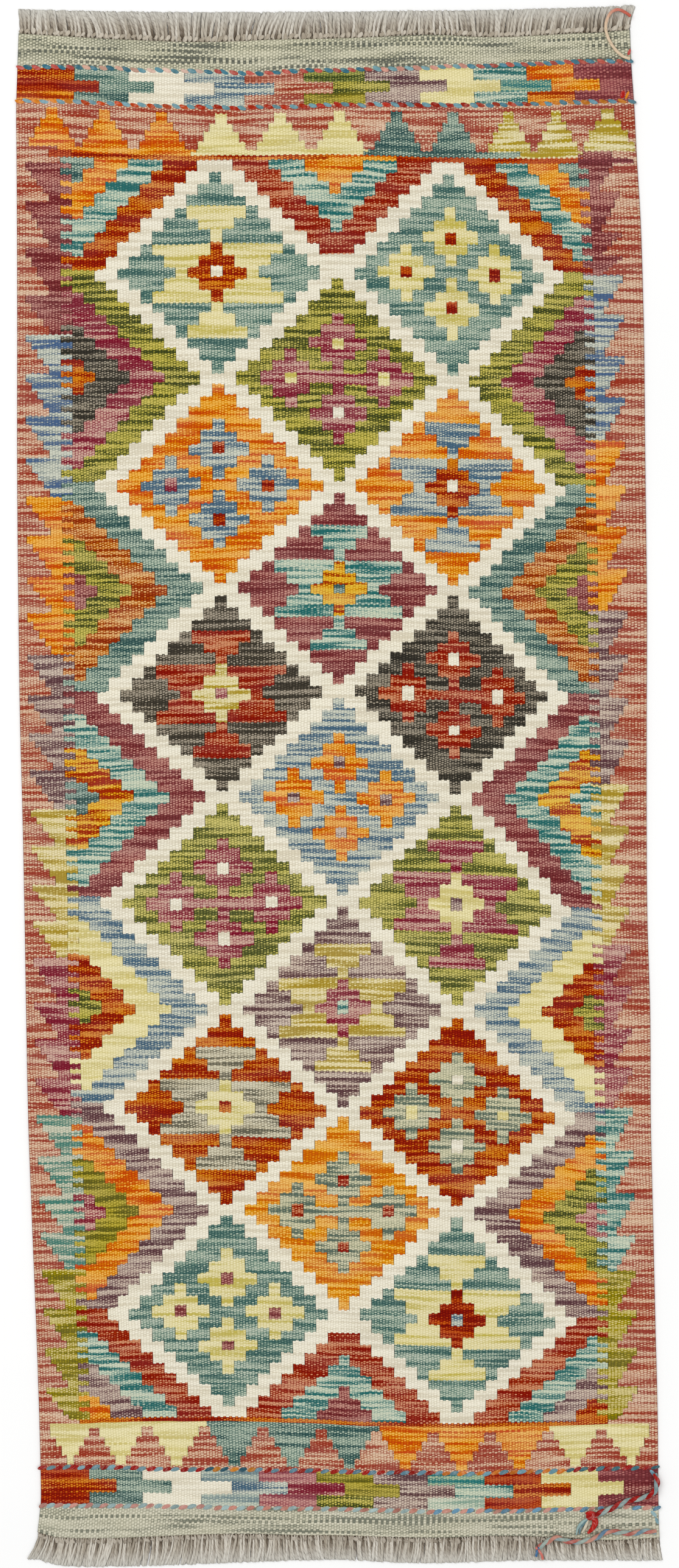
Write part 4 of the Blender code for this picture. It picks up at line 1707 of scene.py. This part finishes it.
def build_red_end():
    yarns = Yarns("pale_blue_end", 3, 1)
    d = RED_END_DIAMETER
    for k, (route, code) in enumerate(
        (
            ([(965, 2494), (956, 2500), (949, 2509), (946, 2521)], "8FAAA8"),
            ([(965, 2495), (959, 2501), (953, 2510), (951, 2520)], "5E7C84"),
            ([(965, 2496), (963, 2503), (960, 2510), (955, 2518)], "D2C8B2"),
        )
    ):
        line = laid_route(route, d, 18)
        line[:, 2] += (0.0003, 0.0, -0.0002)[k]
        taper = np.interp(np.linspace(0, 1, 18), [0, 0.5, 1], [0.9, 1.0, 0.5])
        yarns.tube(line, 0.0019 * taper, 0.0012 * taper, linear(code), sides=10, twist=0.8)
    return yarns


def build_pink_tail():
    route = laid_route(PINK_TAIL_ROUTE, PINK_TAIL_DIAMETER, 190)
    yarns = Yarns("pink_and_blue_tail", 1, 4)
    d = PINK_TAIL_DIAMETER
    fork = int(np.argmin(np.hypot(route[:, 0] - place(885, 0)[0], route[:, 1] - place(0, 2541)[1])))
    body = route[: fork + 1]
    share = np.linspace(0, 1, len(body))
    pink = blend(wander(share * 100, 8, 43), "A6504A", "B66E62", "C2907E")
    blue = blend(wander(share * 100, 7, 44), "4A6E92", "7E989E", "98A8A0", "A6B0A4")
    yarns.tube(ply(body, d, 6.0, 0), 0.40 * d, 0.35 * d, pink, sides=12, twist=-4.0)
    yarns.tube(ply(body, d, 6.0, 1), 0.40 * d, 0.35 * d, blue, sides=12, twist=-4.0)
    # Past the fork the blue ply goes on by itself
    yarns.tube(route[fork - 2 :], 0.27 * d, 0.25 * d, linear("3E6C98"), sides=10, twist=0.8)
    return yarns, route


def build_pink_end():
    """The pink ply past the fork of its tail."""
    yarns = Yarns("pink_end", 1, 1)
    d = PINK_TAIL_DIAMETER
    line = laid_route([(880, 2541), (885, 2547), (889.5, 2554), (891, 2561)], d, 18)
    yarns.tube(line, 0.27 * d, 0.25 * d, linear("CC6E62"), sides=10, twist=0.8)
    return yarns


def finish_piece(piece):
    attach(piece, "root")


# ------------------------------------------------------------------ assembly
cloth = build_cloth()
cloth.data.materials.append(weave_material())
finish_piece(cloth)
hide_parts("rug_cloth")

stitch_wool = yarn_material("twining_wool", 0.0, 0.9)
twining = build_twining().piece(stitch_wool)
finish_piece(twining)

warp_wool = yarn_material("warp_wool", 0.22, 0.9)
for upper, node in ((True, "fringe_top"), (False, "fringe_bottom")):
    fringe = build_fringe(upper).piece(warp_wool)
    finish_piece(fringe)
    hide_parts(node)

yarns, route = build_loop()
loop = yarns.piece(yarn_material("pale_yarn", 0.12, 0.6))
finish_piece(loop)
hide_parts("loose_yarn_top")

tail_wool = yarn_material("tail_wool", 0.0, 1.0)
end = build_red_end().piece(tail_wool)
finish_piece(end)
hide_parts("loose_tail_red_end")
knot = build_knot().piece(tail_wool)
finish_piece(knot)
yarns, route = build_red_tail()
red_tail = yarns.piece(tail_wool)
finish_piece(red_tail)
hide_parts("loose_tail_red")
pink_end = build_pink_end().piece(tail_wool)
finish_piece(pink_end)
yarns, route = build_pink_tail()
pink_tail = yarns.piece(tail_wool)
finish_piece(pink_tail)
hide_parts("loose_tail_pink")


# --------------------------------------------------------- stage and camera
def make_stage():
    mesh = bpy.data.meshes.new("floor")
    size = 40.0
    mesh.from_pydata(
        [(-size, -size, -0.0002), (size, -size, -0.0002), (size, size, -0.0002), (-size, size, -0.0002)],
        [],
        [(0, 1, 2, 3)],
    )
    floor = bpy.data.objects.new("floor", mesh)
    bpy.context.scene.collection.objects.link(floor)
    t = Tree("pale_floor")
    spot = t.nodes.new("ShaderNodeTexCoord").outputs["Object"]
    t.finish(
        t.ramp(t.noise(spot, 3.0, 2.0), [(0.3, (0.86, 0.86, 0.855)), (0.7, (0.88, 0.88, 0.875))]),
        0.9,
        None,
    )
    floor.data.materials.append(t.material)

    world = bpy.data.worlds.new("studio")
    bpy.context.scene.world = world
    world.use_nodes = True
    world.node_tree.nodes["Background"].inputs[0].default_value = (1.0, 1.0, 1.0, 1.0)
    world.node_tree.nodes["Background"].inputs[1].default_value = 0.72
    for name, spot, size, power in (
        ("key", (-2.2, 1.6, 4.2), 3.0, 95.0),
        ("fill", (2.6, -1.8, 4.6), 4.0, 70.0),
    ):
        lamp = bpy.data.lights.new(name, "AREA")
        lamp.shape = "SQUARE"
        lamp.size = size
        lamp.energy = power
        holder = bpy.data.objects.new(name, lamp)
        holder.location = spot
        away = np.array(spot)
        pitch = math.acos(away[2] / np.linalg.norm(away))
        turn = math.atan2(away[1], away[0])
        holder.rotation_euler = (0.0, pitch, turn)
        bpy.context.scene.collection.objects.link(holder)


def make_camera():
    data = bpy.data.cameras.new("straight_above")
    camera = bpy.data.objects.new("straight_above", data)
    bpy.context.scene.collection.objects.link(camera)
    height = 4.0
    x, y = place(557.5, 1288.0)
    camera.location = (x, y, height)
    camera.rotation_euler = (0.0, 0.0, 0.0)
    data.sensor_fit = "AUTO"
    data.sensor_width = 36.0
    data.lens = 36.0 * (height - CLOTH_THICKNESS) / (2576 * UNIT)
    data.clip_end = 100.0
    bpy.context.scene.camera = camera


make_stage()
make_camera()
scene = bpy.context.scene
scene.view_settings.view_transform = "Standard"
scene.view_settings.look = "None"
scene.view_settings.exposure = 0.0
scene.view_settings.gamma = 1.0
